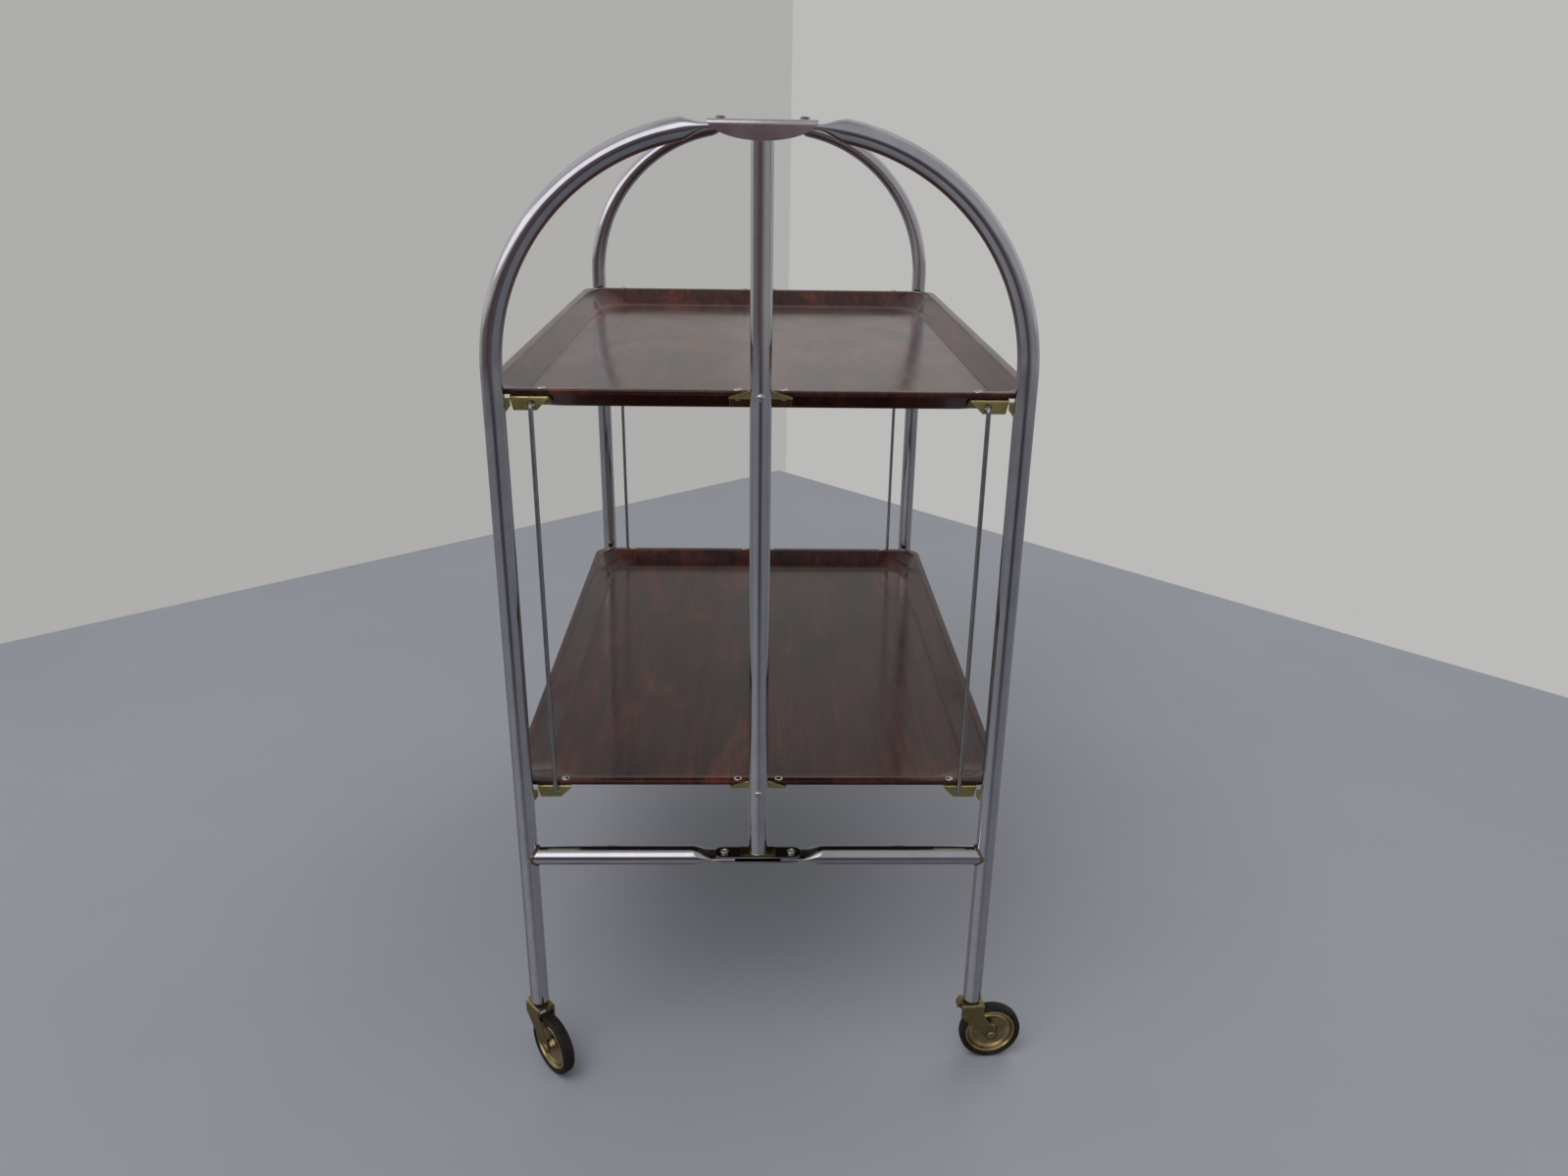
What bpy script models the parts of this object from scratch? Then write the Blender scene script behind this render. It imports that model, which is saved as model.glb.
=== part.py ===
"""A folding tea cart: two arched tube end frames, two tilting trays, link rods and swivel castors.

Metres, +Z up, X across the cart, Y along it. The origin is on the floor under the middle.
The far end is the near end (low Y) turned half a turn about the upright middle axis, so every
piece is shaped at the near end and placed again at the far end.
"""

from math import acos, atan2, cos, hypot, pi, radians, sin

import bmesh
import bpy
from mathutils import Matrix, Vector

# Driving sizes of the frame
LEG_SPACING = 0.370
FRAME_SPACING = 0.586
ARCH_TOP = 0.7575
ARCH_FLAT_HALF = 0.025
TUBE_RADIUS = 0.0076
TUBE_WALL = 0.0015
LEG_FOOT = 0.062
CROSSBAR_HEIGHT = 0.2065
UPPER_PIVOT_BELOW_ARCH = 0.0145
LOWER_PIVOT_ABOVE_BAR = 0.061

# Gaps: touching faces, and what turns in a hole
TOUCH = 0.0003
RUNNING = 0.0003
CUT_OVERRUN = 0.002

# Flattened tube ends and the pins that join the two halves of an end frame
HINGE_OFFSET = 0.027
ARCH_TONGUE_HALF = 0.002
BAR_TONGUE_HALF = 0.0012
TONGUE_PAST_HINGE = 0.0085
LEG_FLATTEN_LENGTH = 0.020
BAR_FLATTEN_LENGTH = 0.018
WELD_VENT_RADIUS = 0.002
HINGE_PIN_RADIUS = 0.0021
HINGE_HEAD_RADIUS = 0.0034
HINGE_HEAD_HEIGHT = 0.0016

# Clasp over the top of each post
CLASP_HALF_LENGTH = 0.0353
CLASP_PLATE = 0.0017
CLASP_DROP = 0.0129
CLASP_CORNER_CUT = 0.004

# Stadium shaped plates at the foot of each post
PLATE_HALF_LENGTH = 0.0355
PLATE_HALF_WIDTH = 0.0078
PLATE_THICKNESS = 0.0012
FOOT_HALF_LENGTH = 0.0143
FOOT_HALF_WIDTH = 0.006
FOOT_THICKNESS = 0.001
POST_CHAMFER = 0.0018

# Trays
TRAY_PAST_LEG = 0.014
TRAY_TO_FRAME = 0.0125
TRAY_DEPTH = 0.015
TRAY_THICKNESS = 0.004
RIM_ABOVE_PIVOT = 0.0005
RIM_ROUND = 0.0008
LIP_WIDTH = 0.006
SIDE_FLARE = 0.025
END_FLARE = 0.034
RIM_CORNER_RADIUS = 0.020
FLOOR_CORNER_RADIUS = 0.035
# Run and fall down the wall, from the lip to the floor
WALL_SHARES = ((0.0, 0.0), (0.08, 0.035), (0.18, 0.14), (0.78, 0.86), (0.90, 0.965), (1.0, 1.0))

# Brackets at the tray ends
BRACKET_SHEET = 0.0015
BRACKET_STANDOFF = 0.0007
BRACKET_REACH = 0.023
CENTRE_TOP_HALF_WIDTH = 0.0042
CENTRE_HALF_WIDTH = 0.0225
CENTRE_RISE = 0.0042
WING_TOP_HALF_WIDTH = 0.0068
WING_RISE = 0.0010
CORNER_TO_LEG = 0.0005
CORNER_TOP_WIDTH = 0.0270
CORNER_FOOT_WIDTH = 0.0165
CORNER_FOOT_INSET = 0.002
CORNER_FOOT_BELOW_PIVOT = 0.0150

# Pivot rivets through the posts, each with a spacing collar behind the post
PIVOT_RADIUS = 0.002
PIVOT_HEAD_RADIUS = 0.0028
PIVOT_HEAD_HEIGHT = 0.0012
PIVOT_COLLAR_RADIUS = 0.0042
PIVOT_SINK_RADIUS = 0.003
PIVOT_SINK_DEPTH = 0.0009

# Oval-head screws down through the lip at the tray ends
SCREW_RADIUS = 0.0016
SCREW_HEAD_RADIUS = 0.0032
SCREW_HEAD_HEIGHT = 0.0014
SCREW_TAIL_RADIUS = 0.0021
SCREW_TAIL_HEIGHT = 0.0014
SCREW_INSET = 0.0040
CENTRE_SCREW_X = 0.0165
CORNER_SCREW_INSET = 0.0224

# Link rods of round wire, hooked into the corner brackets
ROD_INSET = 0.0149
ROD_BELOW_PIVOT = 0.010
ROD_RADIUS = 0.00175
ROD_BEND_RADIUS = 0.0032
ROD_TAIL = 0.0045

# Catches behind the legs, beside the corner brackets
CATCH_PAST_LEG = 0.0035
CATCH_PAST_TUBE = 0.0018
CATCH_BELOW_PIVOT = 0.005
CATCH_DROP = 0.0115
CATCH_TIP_INSET = 0.005

# Castors
CASTOR_TRAIL = 0.018
WHEEL_RADIUS = 0.0265
TYRE_WIDTH = 0.0108
TYRE_INNER_RADIUS = 0.0222
TYRE_SHOULDER = 0.0034
DISC_WIDTH = 0.0086
DISC_RIM_INNER_RADIUS = 0.0200
DISC_RING_RADIUS = 0.0178
DISC_RING_WIDTH = 0.0060
DISC_DISH_RADIUS = 0.0150
DISC_WEB_WIDTH = 0.0034
HUB_RADIUS = 0.0055
HUB_FOOT_RADIUS = 0.0072
HUB_WIDTH = 0.0118
AXLE_RADIUS = 0.0025
AXLE_HEAD_RADIUS = 0.0034
AXLE_HEAD_HEIGHT = 0.0014
FORK_SHEET = 0.0015
FORK_SIDE_CLEARANCE = 0.0012
FORK_TOP_WIDTH = 0.0195
FORK_EAR_RADIUS = 0.0055
FORK_BELOW_LEG = 0.003
FORK_WAIST_BELOW_TOP = 0.0105
FORK_LUG_REACH = 0.0128
FORK_LUG_HALF_WIDTH = 0.0035
FORK_LUG_DROP = 0.0048
STEM_RADIUS = 0.004
STEM_BUSH_LENGTH = 0.034
STEM_COLLAR_RADIUS = 0.0068
STEM_HEAD_RADIUS = 0.0054
STEM_HEAD_HEIGHT = 0.0035
NEAR_LEFT_TRAIL_ANGLE = radians(-49)
NEAR_RIGHT_TRAIL_ANGLE = radians(4)

# Shares that shape heads, shoulders and flattened tube
HEAD_CROWN_SHARE = 0.5
HEAD_EDGE_SHARE = 0.35
SHOULDER_SHARE = 0.3
FLAT_OVAL_POWER_SHARE = 0.55
CLASP_FLANGE_GAP_SHARE = 1.5

# Facet counts
TUBE_SIDES = 12
ARCH_STEPS = 8
FLATTEN_STEPS = 3
WHEEL_SIDES = 24
SMALL_SIDES = 8
ROD_SIDES = 8
ROD_BEND_STEPS = 3
EAR_STEPS = 5
STADIUM_STEPS = 5
CLASP_STEPS = 6
TRAY_CORNER_STEPS = 5

# Worked out from the sizes above
LEG_X = LEG_SPACING / 2
FRAME_Y = FRAME_SPACING / 2
ARCH_CENTRE_X = ARCH_FLAT_HALF
ARCH_RADIUS = LEG_X - ARCH_CENTRE_X
ARCH_CENTRE_Z = ARCH_TOP - ARCH_RADIUS
UPPER_PIVOT_HEIGHT = ARCH_CENTRE_Z - UPPER_PIVOT_BELOW_ARCH
LOWER_PIVOT_HEIGHT = CROSSBAR_HEIGHT + LOWER_PIVOT_ABOVE_BAR
TONGUE_END_X = HINGE_OFFSET - TONGUE_PAST_HINGE
PIN_HOLE_RADIUS = HINGE_PIN_RADIUS + RUNNING
CLASP_UNDER = ARCH_TOP + ARCH_TONGUE_HALF + TOUCH
CLASP_TOP = CLASP_UNDER + CLASP_PLATE
UPPER_PLATE_UNDER = CROSSBAR_HEIGHT + BAR_TONGUE_HALF + TOUCH
UPPER_PLATE_TOP = UPPER_PLATE_UNDER + PLATE_THICKNESS
LOWER_PLATE_TOP = CROSSBAR_HEIGHT - BAR_TONGUE_HALF - TOUCH
LOWER_PLATE_UNDER = LOWER_PLATE_TOP - PLATE_THICKNESS
FOOT_UNDER = UPPER_PLATE_TOP + TOUCH
POST_BOTTOM = FOOT_UNDER + FOOT_THICKNESS + TOUCH
POST_TOP = CLASP_UNDER - TOUCH
TRAY_HALF_WIDTH = LEG_X + TRAY_PAST_LEG
TRAY_HALF_LENGTH = FRAME_Y - TRAY_TO_FRAME
STEEP_RUN = (END_FLARE - LIP_WIDTH) * (WALL_SHARES[3][0] - WALL_SHARES[2][0])
STEEP_FALL = TRAY_DEPTH * (WALL_SHARES[3][1] - WALL_SHARES[2][1])
CORNER_OUTER_X = LEG_X - TUBE_RADIUS - CORNER_TO_LEG
CORNER_SCREW_X = CORNER_OUTER_X - CORNER_SCREW_INSET
ROD_X = CORNER_OUTER_X - ROD_INSET
WALL_SLOPE = STEEP_FALL / STEEP_RUN
WALL_ANGLE = atan2(STEEP_FALL, STEEP_RUN)
STEEP_START = LIP_WIDTH + (END_FLARE - LIP_WIDTH) * WALL_SHARES[2][0]
WALL_KNEE = STEEP_START - TRAY_DEPTH * WALL_SHARES[2][1] / WALL_SLOPE
PIVOT_HOLE_RADIUS = PIVOT_RADIUS + RUNNING
SCREW_HOLE_RADIUS = SCREW_RADIUS + RUNNING
ROD_HOLE_RADIUS = ROD_RADIUS + RUNNING
ROD_OUT = TOUCH + ROD_RADIUS
CORNER_PLATE_OUT = ROD_OUT - ROD_BEND_RADIUS
CENTRE_PLATE_OUT = TOUCH + BRACKET_SHEET
TRAY_UNDER_LIP = RIM_ABOVE_PIVOT - TRAY_THICKNESS
FORK_PLATE_TOP = LEG_FOOT - FORK_BELOW_LEG
FORK_PLATE_UNDER = FORK_PLATE_TOP - FORK_SHEET
FORK_INNER = TYRE_WIDTH / 2 + FORK_SIDE_CLEARANCE
FORK_OUTER = FORK_INNER + FORK_SHEET
STEM_HOLE_RADIUS = STEM_RADIUS + RUNNING
BORE_RADIUS = TUBE_RADIUS - TUBE_WALL
BAR_FLAT_X = PLATE_HALF_LENGTH + BAR_FLATTEN_LENGTH
ARCH_FLAT_TURN = acos((CLASP_HALF_LENGTH - ARCH_CENTRE_X) / ARCH_RADIUS)
SHARP_ANGLE = radians(35)
POST_DRILL = TUBE_RADIUS * 2
PLATE_DRILL = PLATE_THICKNESS * 2
LIP_DRILL = TRAY_THICKNESS * 2
PIVOT_HEIGHTS = (UPPER_PIVOT_HEIGHT, LOWER_PIVOT_HEIGHT)

# Base colour, roughness and metallic value of each finish
CHROME = ((0.78, 0.79, 0.81), 0.12, 1.0)
DARK_CHROME = ((0.55, 0.56, 0.60), 0.10, 1.0)
ROSEWOOD = ((0.085, 0.028, 0.022), 0.18, 0.0)
BRASS = ((0.44, 0.35, 0.16), 0.38, 1.0)
OLIVE_STEEL = ((0.30, 0.27, 0.18), 0.42, 1.0)
WIRE = ((0.42, 0.42, 0.42), 0.35, 1.0)
NICKEL = ((0.62, 0.60, 0.56), 0.28, 1.0)
RUBBER = ((0.035, 0.025, 0.025), 0.70, 0.0)

HALF_TURN = Matrix.Rotation(pi, 4, "Z")
ENDS = (("near", Matrix.Identity(4)), ("far", HALF_TURN))
SIDES = (("left", -1), ("right", 1))
# A turned shape stands along Z; this lays it along Y
ALONG_Y = Matrix.Rotation(pi / 2, 4, "X")


def clear_scene():
    for item in list(bpy.data.objects):
        bpy.data.objects.remove(item, do_unlink=True)


def at(x, y, z):
    return Matrix.Translation((x, y, z))


def finish_of(name, finish):
    colour, roughness, metallic = finish
    made = bpy.data.materials.new(name)
    made.use_nodes = True
    shader = made.node_tree.nodes["Principled BSDF"]
    shader.inputs["Base Color"].default_value = (*colour, 1.0)
    shader.inputs["Roughness"].default_value = roughness
    shader.inputs["Metallic"].default_value = metallic
    made.diffuse_color = (*colour, 1.0)
    return made


def place(name, mesh, finish, matrix):
    """Put a copy of a mesh in the scene as one named piece."""
    piece = bpy.data.objects.new(name, mesh.copy())
    piece.data.name = name
    piece.data.materials.clear()
    piece.data.materials.append(finish_of(name, finish))
    bpy.context.scene.collection.objects.link(piece)
    piece.matrix_world = matrix
    return piece


def mesh_from(shape):
    """Turn a bmesh into a mesh whose faces point out and whose round faces are smooth."""
    bmesh.ops.recalc_face_normals(shape, faces=shape.faces)
    mesh = bpy.data.meshes.new("shape")
    shape.to_mesh(mesh)
    shape.free()
    mesh.shade_smooth()
    mesh.set_sharp_from_angle(angle=SHARP_ANGLE)
    return mesh


def combine(mesh, tools, operation):
    """Cut each (mesh, matrix) tool out of a mesh, or unite it with the mesh."""
    base = bpy.data.objects.new("base", mesh)
    bpy.context.scene.collection.objects.link(base)
    helpers = [base]
    for tool_mesh, matrix in tools:
        tool = bpy.data.objects.new("tool", tool_mesh)
        bpy.context.scene.collection.objects.link(tool)
        tool.matrix_world = matrix
        tool.hide_render = True
        tool.display_type = "WIRE"
        helpers.append(tool)
        step = base.modifiers.new("step", "BOOLEAN")
        step.operation = operation
        step.solver = "EXACT"
        step.object = tool
    bpy.context.view_layer.update()
    evaluated = base.evaluated_get(bpy.context.evaluated_depsgraph_get())
    result = bpy.data.meshes.new_from_object(evaluated)
    for helper in helpers:
        bpy.data.objects.remove(helper, do_unlink=True)
    result.shade_smooth()
    result.set_sharp_from_angle(angle=SHARP_ANGLE)
    return result


def loft(rings, ring_closed=False):
    """Skin a run of rings of equally many points. Its two ends are capped, unless it closes."""
    shape = bmesh.new()
    rows = [[shape.verts.new(point) for point in ring] for ring in rings]
    pairs = list(zip(rows, rows[1:]))
    if ring_closed:
        pairs.append((rows[-1], rows[0]))
    for low, high in pairs:
        for first, second, third, fourth in zip(low, low[1:] + low[:1], high[1:] + high[:1], high):
            shape.faces.new((first, second, third, fourth))
    if not ring_closed:
        shape.faces.new(rows[0][::-1])
        shape.faces.new(rows[-1])
    return mesh_from(shape)


def circle(radius, height, sides):
    turns = [2 * pi * step / sides for step in range(sides)]
    return [Vector((radius * cos(turn), radius * sin(turn), height)) for turn in turns]


def turned(profile, sides, ring_closed=False):
    """A shape turned about Z from (radius, height) points."""
    return loft([circle(radius, height, sides) for radius, height in profile], ring_closed)


def bar(radius, low, high, sides=SMALL_SIDES):
    """A plain round bar along Z, mostly used as a drill."""
    return turned(((radius, low), (radius, high)), sides)


def drill(radius, length):
    """A drill along Z that clears a hole of a length centred on its middle."""
    half = length / 2 + CUT_OVERRUN
    return bar(radius, -half, half)


def plate(outline, thickness, axes):
    """A flat outline of (u, v) points raised by thickness along w; axes maps (u, v, w) to x, y, z."""
    rings = []
    for height in (0.0, thickness):
        rings.append([axes @ Vector((across, along, height)) for across, along in outline])
    return loft(rings)


# Maps an outline drawn in X and Z, raised towards +Y
IN_XZ = Matrix(((1, 0, 0), (0, 0, 1), (0, 1, 0)))
IN_XY = Matrix.Identity(3)


def squashed_ring(centre, along, thickness, width, squash):
    """A tube section: round at squash 0, a flat-sided oval at squash 1. The tube runs in X and Z."""
    inward = Vector((-along.z, 0.0, along.x))
    power = 1.0 - squash * (1.0 - FLAT_OVAL_POWER_SHARE)
    ring = []
    for step in range(TUBE_SIDES):
        turn = 2 * pi * step / TUBE_SIDES
        across = abs(cos(turn)) ** power * (1 if cos(turn) >= 0 else -1)
        sideways = abs(sin(turn)) ** power * (1 if sin(turn) >= 0 else -1)
        ring.append(centre + inward * thickness * across + Vector((0, 1, 0)) * width * sideways)
    return ring


def eased(share):
    return share * share * (3 - 2 * share)


def flattened(share, flat_half):
    """Half thickness of a tube part of the way from round to flat."""
    return TUBE_RADIUS + (flat_half - TUBE_RADIUS) * eased(share)


def pin_cut(side, height, length):
    return drill(PIN_HOLE_RADIUS, length), at(side * HINGE_OFFSET, 0, height)


def leg_tube(side):
    """A leg that bends over into half of the arch and ends in a flat tongue."""
    up = Vector((0, 0, 1))
    foot = Vector((side * LEG_X, 0, LEG_FOOT))
    rings = [squashed_ring(foot, up, TUBE_RADIUS, TUBE_RADIUS, 0)]
    flat_from = ARCH_FLAT_TURN - LEG_FLATTEN_LENGTH / ARCH_RADIUS
    turns = [flat_from * step / ARCH_STEPS for step in range(ARCH_STEPS)]
    flat_turn = (ARCH_FLAT_TURN - flat_from) / FLATTEN_STEPS
    turns += [flat_from + flat_turn * step for step in range(FLATTEN_STEPS + 1)]
    turns.append(pi / 2)
    for turn in turns:
        out = ARCH_CENTRE_X + ARCH_RADIUS * cos(turn)
        centre = Vector((side * out, 0, ARCH_CENTRE_Z + ARCH_RADIUS * sin(turn)))
        along = Vector((-side * sin(turn), 0, cos(turn)))
        share = min(1.0, max(0.0, (turn - flat_from) / (ARCH_FLAT_TURN - flat_from)))
        half = flattened(share, ARCH_TONGUE_HALF)
        rings.append(squashed_ring(centre, along, half, TUBE_RADIUS, share))
    end = Vector((side * TONGUE_END_X, 0, ARCH_TOP))
    along = Vector((-side, 0, 0))
    rings.append(squashed_ring(end, along, ARCH_TONGUE_HALF, TUBE_RADIUS, 1))
    return loft(rings)


def crossbar_tube(side):
    """A low cross bar from the leg's middle line to a flat tongue."""
    along = Vector((-side, 0, 0))
    start = Vector((side * LEG_X, 0, CROSSBAR_HEIGHT))
    rings = [squashed_ring(start, along, TUBE_RADIUS, TUBE_RADIUS, 0)]
    for step in range(FLATTEN_STEPS + 1):
        share = step / FLATTEN_STEPS
        centre = Vector((side * (BAR_FLAT_X - BAR_FLATTEN_LENGTH * share), 0, CROSSBAR_HEIGHT))
        half = flattened(share, BAR_TONGUE_HALF)
        rings.append(squashed_ring(centre, along, half, TUBE_RADIUS, share))
    end = Vector((side * TONGUE_END_X, 0, CROSSBAR_HEIGHT))
    rings.append(squashed_ring(end, along, BAR_TONGUE_HALF, TUBE_RADIUS, 1))
    return loft(rings)


def half_frame_mesh(side):
    """Leg, cross bar and two catches, welded. The bar's bore drains into the leg's."""
    catch = catch_mesh(side)
    parts = [(crossbar_tube(side), Matrix.Identity(4))]
    for height in PIVOT_HEIGHTS:
        parts.append((catch.copy(), at(0, TUBE_RADIUS - TOUCH, height - CATCH_BELOW_PIVOT)))
    welded = combine(leg_tube(side), parts, "UNION")
    lay = Matrix.Rotation(-side * pi / 2, 4, "Y")
    start = at(side * LEG_X, 0, CROSSBAR_HEIGHT) @ lay
    wall = TUBE_RADIUS + TUBE_WALL
    bar_bore = bar(BORE_RADIUS, wall, LEG_X - BAR_FLAT_X, TUBE_SIDES)
    leg_bore = bar(BORE_RADIUS, LEG_FOOT - CUT_OVERRUN, ARCH_CENTRE_Z, TUBE_SIDES)
    cuts = [
        (leg_bore, at(side * LEG_X, 0, 0)),
        (bar_bore, start),
        (bar(WELD_VENT_RADIUS, 0, wall + CUT_OVERRUN), start),
        pin_cut(side, ARCH_TOP, TUBE_RADIUS),
        pin_cut(side, CROSSBAR_HEIGHT, TUBE_RADIUS),
    ]
    return combine(welded, cuts, "DIFFERENCE")


def post_mesh():
    """The centre tube between the clasp and the foot, drilled for both pivot rivets."""
    profile = (
        (BORE_RADIUS, POST_BOTTOM),
        (TUBE_RADIUS - TUBE_WALL / 2, POST_BOTTOM),
        (TUBE_RADIUS, POST_BOTTOM + POST_CHAMFER),
        (TUBE_RADIUS, POST_TOP),
        (BORE_RADIUS, POST_TOP),
    )
    cutter = drill(PIVOT_HOLE_RADIUS, POST_DRILL)
    holes = [(cutter.copy(), at(0, 0, height) @ ALONG_Y) for height in PIVOT_HEIGHTS]
    return combine(turned(profile, TUBE_SIDES, ring_closed=True), holes, "DIFFERENCE")


def bent_sheet(stations, thickness):
    """A bent strip of sheet. Each station is (out, height, low x, high x) on its middle surface.

    out is how far the station lies towards -Y.
    """
    points = [Vector((out, height)) for out, height, _, _ in stations]
    rings = []
    for index, (_, _, low, high) in enumerate(stations):
        before = points[max(index - 1, 0)]
        after = points[min(index + 1, len(points) - 1)]
        here = points[index]
        arriving = (here - before).normalized() if index else (after - here).normalized()
        leaving = (after - here).normalized() if index < len(points) - 1 else arriving
        mitre = (arriving + leaving).normalized()
        half = thickness / 2 / mitre.dot(arriving)
        normal = Vector((-mitre.y, mitre.x)) * half
        front = here + normal
        back = here - normal
        rings.append(
            [
                Vector((low, -front.x, front.y)),
                Vector((high, -front.x, front.y)),
                Vector((high, -back.x, back.y)),
                Vector((low, -back.x, back.y)),
            ]
        )
    return loft(rings)


def clasp_mesh():
    """The plate on both arch ends, with a half-moon flange bent down on its outer side."""
    reach = CLASP_HALF_LENGTH
    level = CLASP_TOP - CLASP_PLATE / 2
    out = TUBE_RADIUS + TOUCH * CLASP_FLANGE_GAP_SHARE + CLASP_PLATE / 2
    back = -TUBE_RADIUS
    stations = [
        (back, level, CLASP_CORNER_CUT - reach, reach - CLASP_CORNER_CUT),
        (back + CLASP_CORNER_CUT, level, -reach, reach),
        (out, level, -reach, reach),
    ]
    for step in range(1, CLASP_STEPS + 1):
        turn = pi / 2 * step / (CLASP_STEPS + 1)
        half = reach * cos(turn)
        stations.append((out, CLASP_TOP - CLASP_DROP * sin(turn), -half, half))
    narrow = reach * cos(pi / 2 * (CLASP_STEPS + 0.5) / (CLASP_STEPS + 1))
    stations.append((out, CLASP_TOP - CLASP_DROP, -narrow, narrow))
    holes = [pin_cut(side, level, CLASP_PLATE) for _, side in SIDES]
    return combine(bent_sheet(stations, CLASP_PLATE), holes, "DIFFERENCE")


def stadium(half_length, half_width):
    outline = []
    for centre, start in ((half_length - half_width, -pi / 2), (half_width - half_length, pi / 2)):
        for step in range(STADIUM_STEPS + 1):
            turn = start + pi * step / STADIUM_STEPS
            outline.append((centre + half_width * cos(turn), half_width * sin(turn)))
    return outline


def hinge_plate_mesh(under):
    """One of the two stadium shaped plates that hold the cross bar tongues between them."""
    blank = plate(stadium(PLATE_HALF_LENGTH, PLATE_HALF_WIDTH), PLATE_THICKNESS, IN_XY)
    blank.transform(at(0, 0, under))
    holes = [pin_cut(side, under, PLATE_DRILL) for _, side in SIDES]
    return combine(blank, holes, "DIFFERENCE")


def post_foot_mesh():
    half_length, half_width = FOOT_HALF_LENGTH, FOOT_HALF_WIDTH
    outline = (
        (-half_length, -half_width),
        (half_length, -half_width),
        (half_length, half_width),
        (-half_length, half_width),
    )
    return plate(outline, FOOT_THICKNESS, IN_XY)


def hinge_pin_mesh(low, high):
    """A riveted pin through a stack from low to high, with a domed head at both ends."""
    head, rise = HINGE_HEAD_RADIUS, HINGE_HEAD_HEIGHT
    profile = (
        (head * HEAD_CROWN_SHARE, low - TOUCH - rise),
        (head, low - TOUCH - rise * HEAD_EDGE_SHARE),
        (head, low - TOUCH),
        (HINGE_PIN_RADIUS, low - TOUCH),
        (HINGE_PIN_RADIUS, high + TOUCH),
        (head, high + TOUCH),
        (head, high + TOUCH + rise * HEAD_EDGE_SHARE),
        (head * HEAD_CROWN_SHARE, high + TOUCH + rise),
    )
    return turned(profile, SMALL_SIDES)


def pivot_rivet_mesh():
    """A rivet along Z through a post: domed outside, collared inside, flush in the tray bracket."""
    post_back = -TUBE_RADIUS - TOUCH
    plate_front = -(FRAME_Y - TRAY_HALF_LENGTH) + CENTRE_PLATE_OUT
    plate_back = plate_front - BRACKET_SHEET
    profile = (
        (PIVOT_SINK_RADIUS, plate_back),
        (PIVOT_RADIUS, plate_back + PIVOT_SINK_DEPTH),
        (PIVOT_RADIUS, plate_front + TOUCH),
        (PIVOT_COLLAR_RADIUS, plate_front + TOUCH),
        (PIVOT_COLLAR_RADIUS, post_back),
        (PIVOT_RADIUS, post_back),
        (PIVOT_RADIUS, TUBE_RADIUS + TOUCH),
        (PIVOT_HEAD_RADIUS, TUBE_RADIUS + TOUCH),
        (PIVOT_HEAD_RADIUS, TUBE_RADIUS + TOUCH + PIVOT_HEAD_HEIGHT * HEAD_EDGE_SHARE),
        (PIVOT_HEAD_RADIUS * HEAD_CROWN_SHARE, TUBE_RADIUS + TOUCH + PIVOT_HEAD_HEIGHT),
    )
    return turned(profile, SMALL_SIDES)


def pivot_cutter():
    """The countersunk hole that turns on a pivot rivet, along Z with the post at +Z."""
    plate_front = -(FRAME_Y - TRAY_HALF_LENGTH) + CENTRE_PLATE_OUT
    plate_back = plate_front - BRACKET_SHEET
    profile = (
        (PIVOT_SINK_RADIUS + RUNNING, plate_back - CUT_OVERRUN),
        (PIVOT_SINK_RADIUS + RUNNING, plate_back),
        (PIVOT_RADIUS + RUNNING, plate_back + PIVOT_SINK_DEPTH),
        (PIVOT_RADIUS + RUNNING, plate_front + CUT_OVERRUN),
    )
    return turned(profile, SMALL_SIDES)


def catch_mesh(side):
    """A small gusset for the inner back of a leg, beside a corner bracket."""
    inner = LEG_X - TUBE_RADIUS - CATCH_PAST_TUBE
    outer = LEG_X + CATCH_PAST_LEG
    outline = (
        (side * outer, 0),
        (side * inner, 0),
        (side * inner, -CATCH_DROP / 2),
        (side * (LEG_X - CATCH_TIP_INSET), -CATCH_DROP),
        (side * outer, -CATCH_DROP),
    )
    return plate(outline, BRACKET_SHEET, IN_XZ)


def rounded_rectangle(half_x, half_y, radius, height):
    ring = []
    corners = ((1, 1, 0), (-1, 1, 1), (-1, -1, 2), (1, -1, 3))
    for side_x, side_y, quarter in corners:
        for step in range(TRAY_CORNER_STEPS + 1):
            turn = pi / 2 * (quarter + step / TRAY_CORNER_STEPS)
            x = side_x * (half_x - radius) + radius * cos(turn)
            y = side_y * (half_y - radius) + radius * sin(turn)
            ring.append(Vector((x, y, height)))
    return ring


def tray_ring(side_inset, end_inset, share, height):
    radius = RIM_CORNER_RADIUS + (FLOOR_CORNER_RADIUS - RIM_CORNER_RADIUS) * share
    half_x = TRAY_HALF_WIDTH - side_inset
    half_y = TRAY_HALF_LENGTH - end_inset
    return rounded_rectangle(half_x, half_y, radius, height)


def wall_rings(height):
    """Rings down a tray's wall from the lip, whose top is at height, to the floor."""
    rings = []
    for run, fall in WALL_SHARES:
        side_inset = LIP_WIDTH + (SIDE_FLARE - LIP_WIDTH) * run
        end_inset = LIP_WIDTH + (END_FLARE - LIP_WIDTH) * run
        rings.append(tray_ring(side_inset, end_inset, run, height - TRAY_DEPTH * fall))
    return rings


def lip_point(side, x):
    """Where a screw's axis meets the top of the lip at the near end."""
    return at(side * x, SCREW_INSET - TRAY_HALF_LENGTH, RIM_ABOVE_PIVOT)


def screw_places():
    places = []
    for _, end in ENDS:
        for x in (CENTRE_SCREW_X, CORNER_SCREW_X):
            for _, side in SIDES:
                places.append(end @ lip_point(side, x))
    return places


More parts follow.
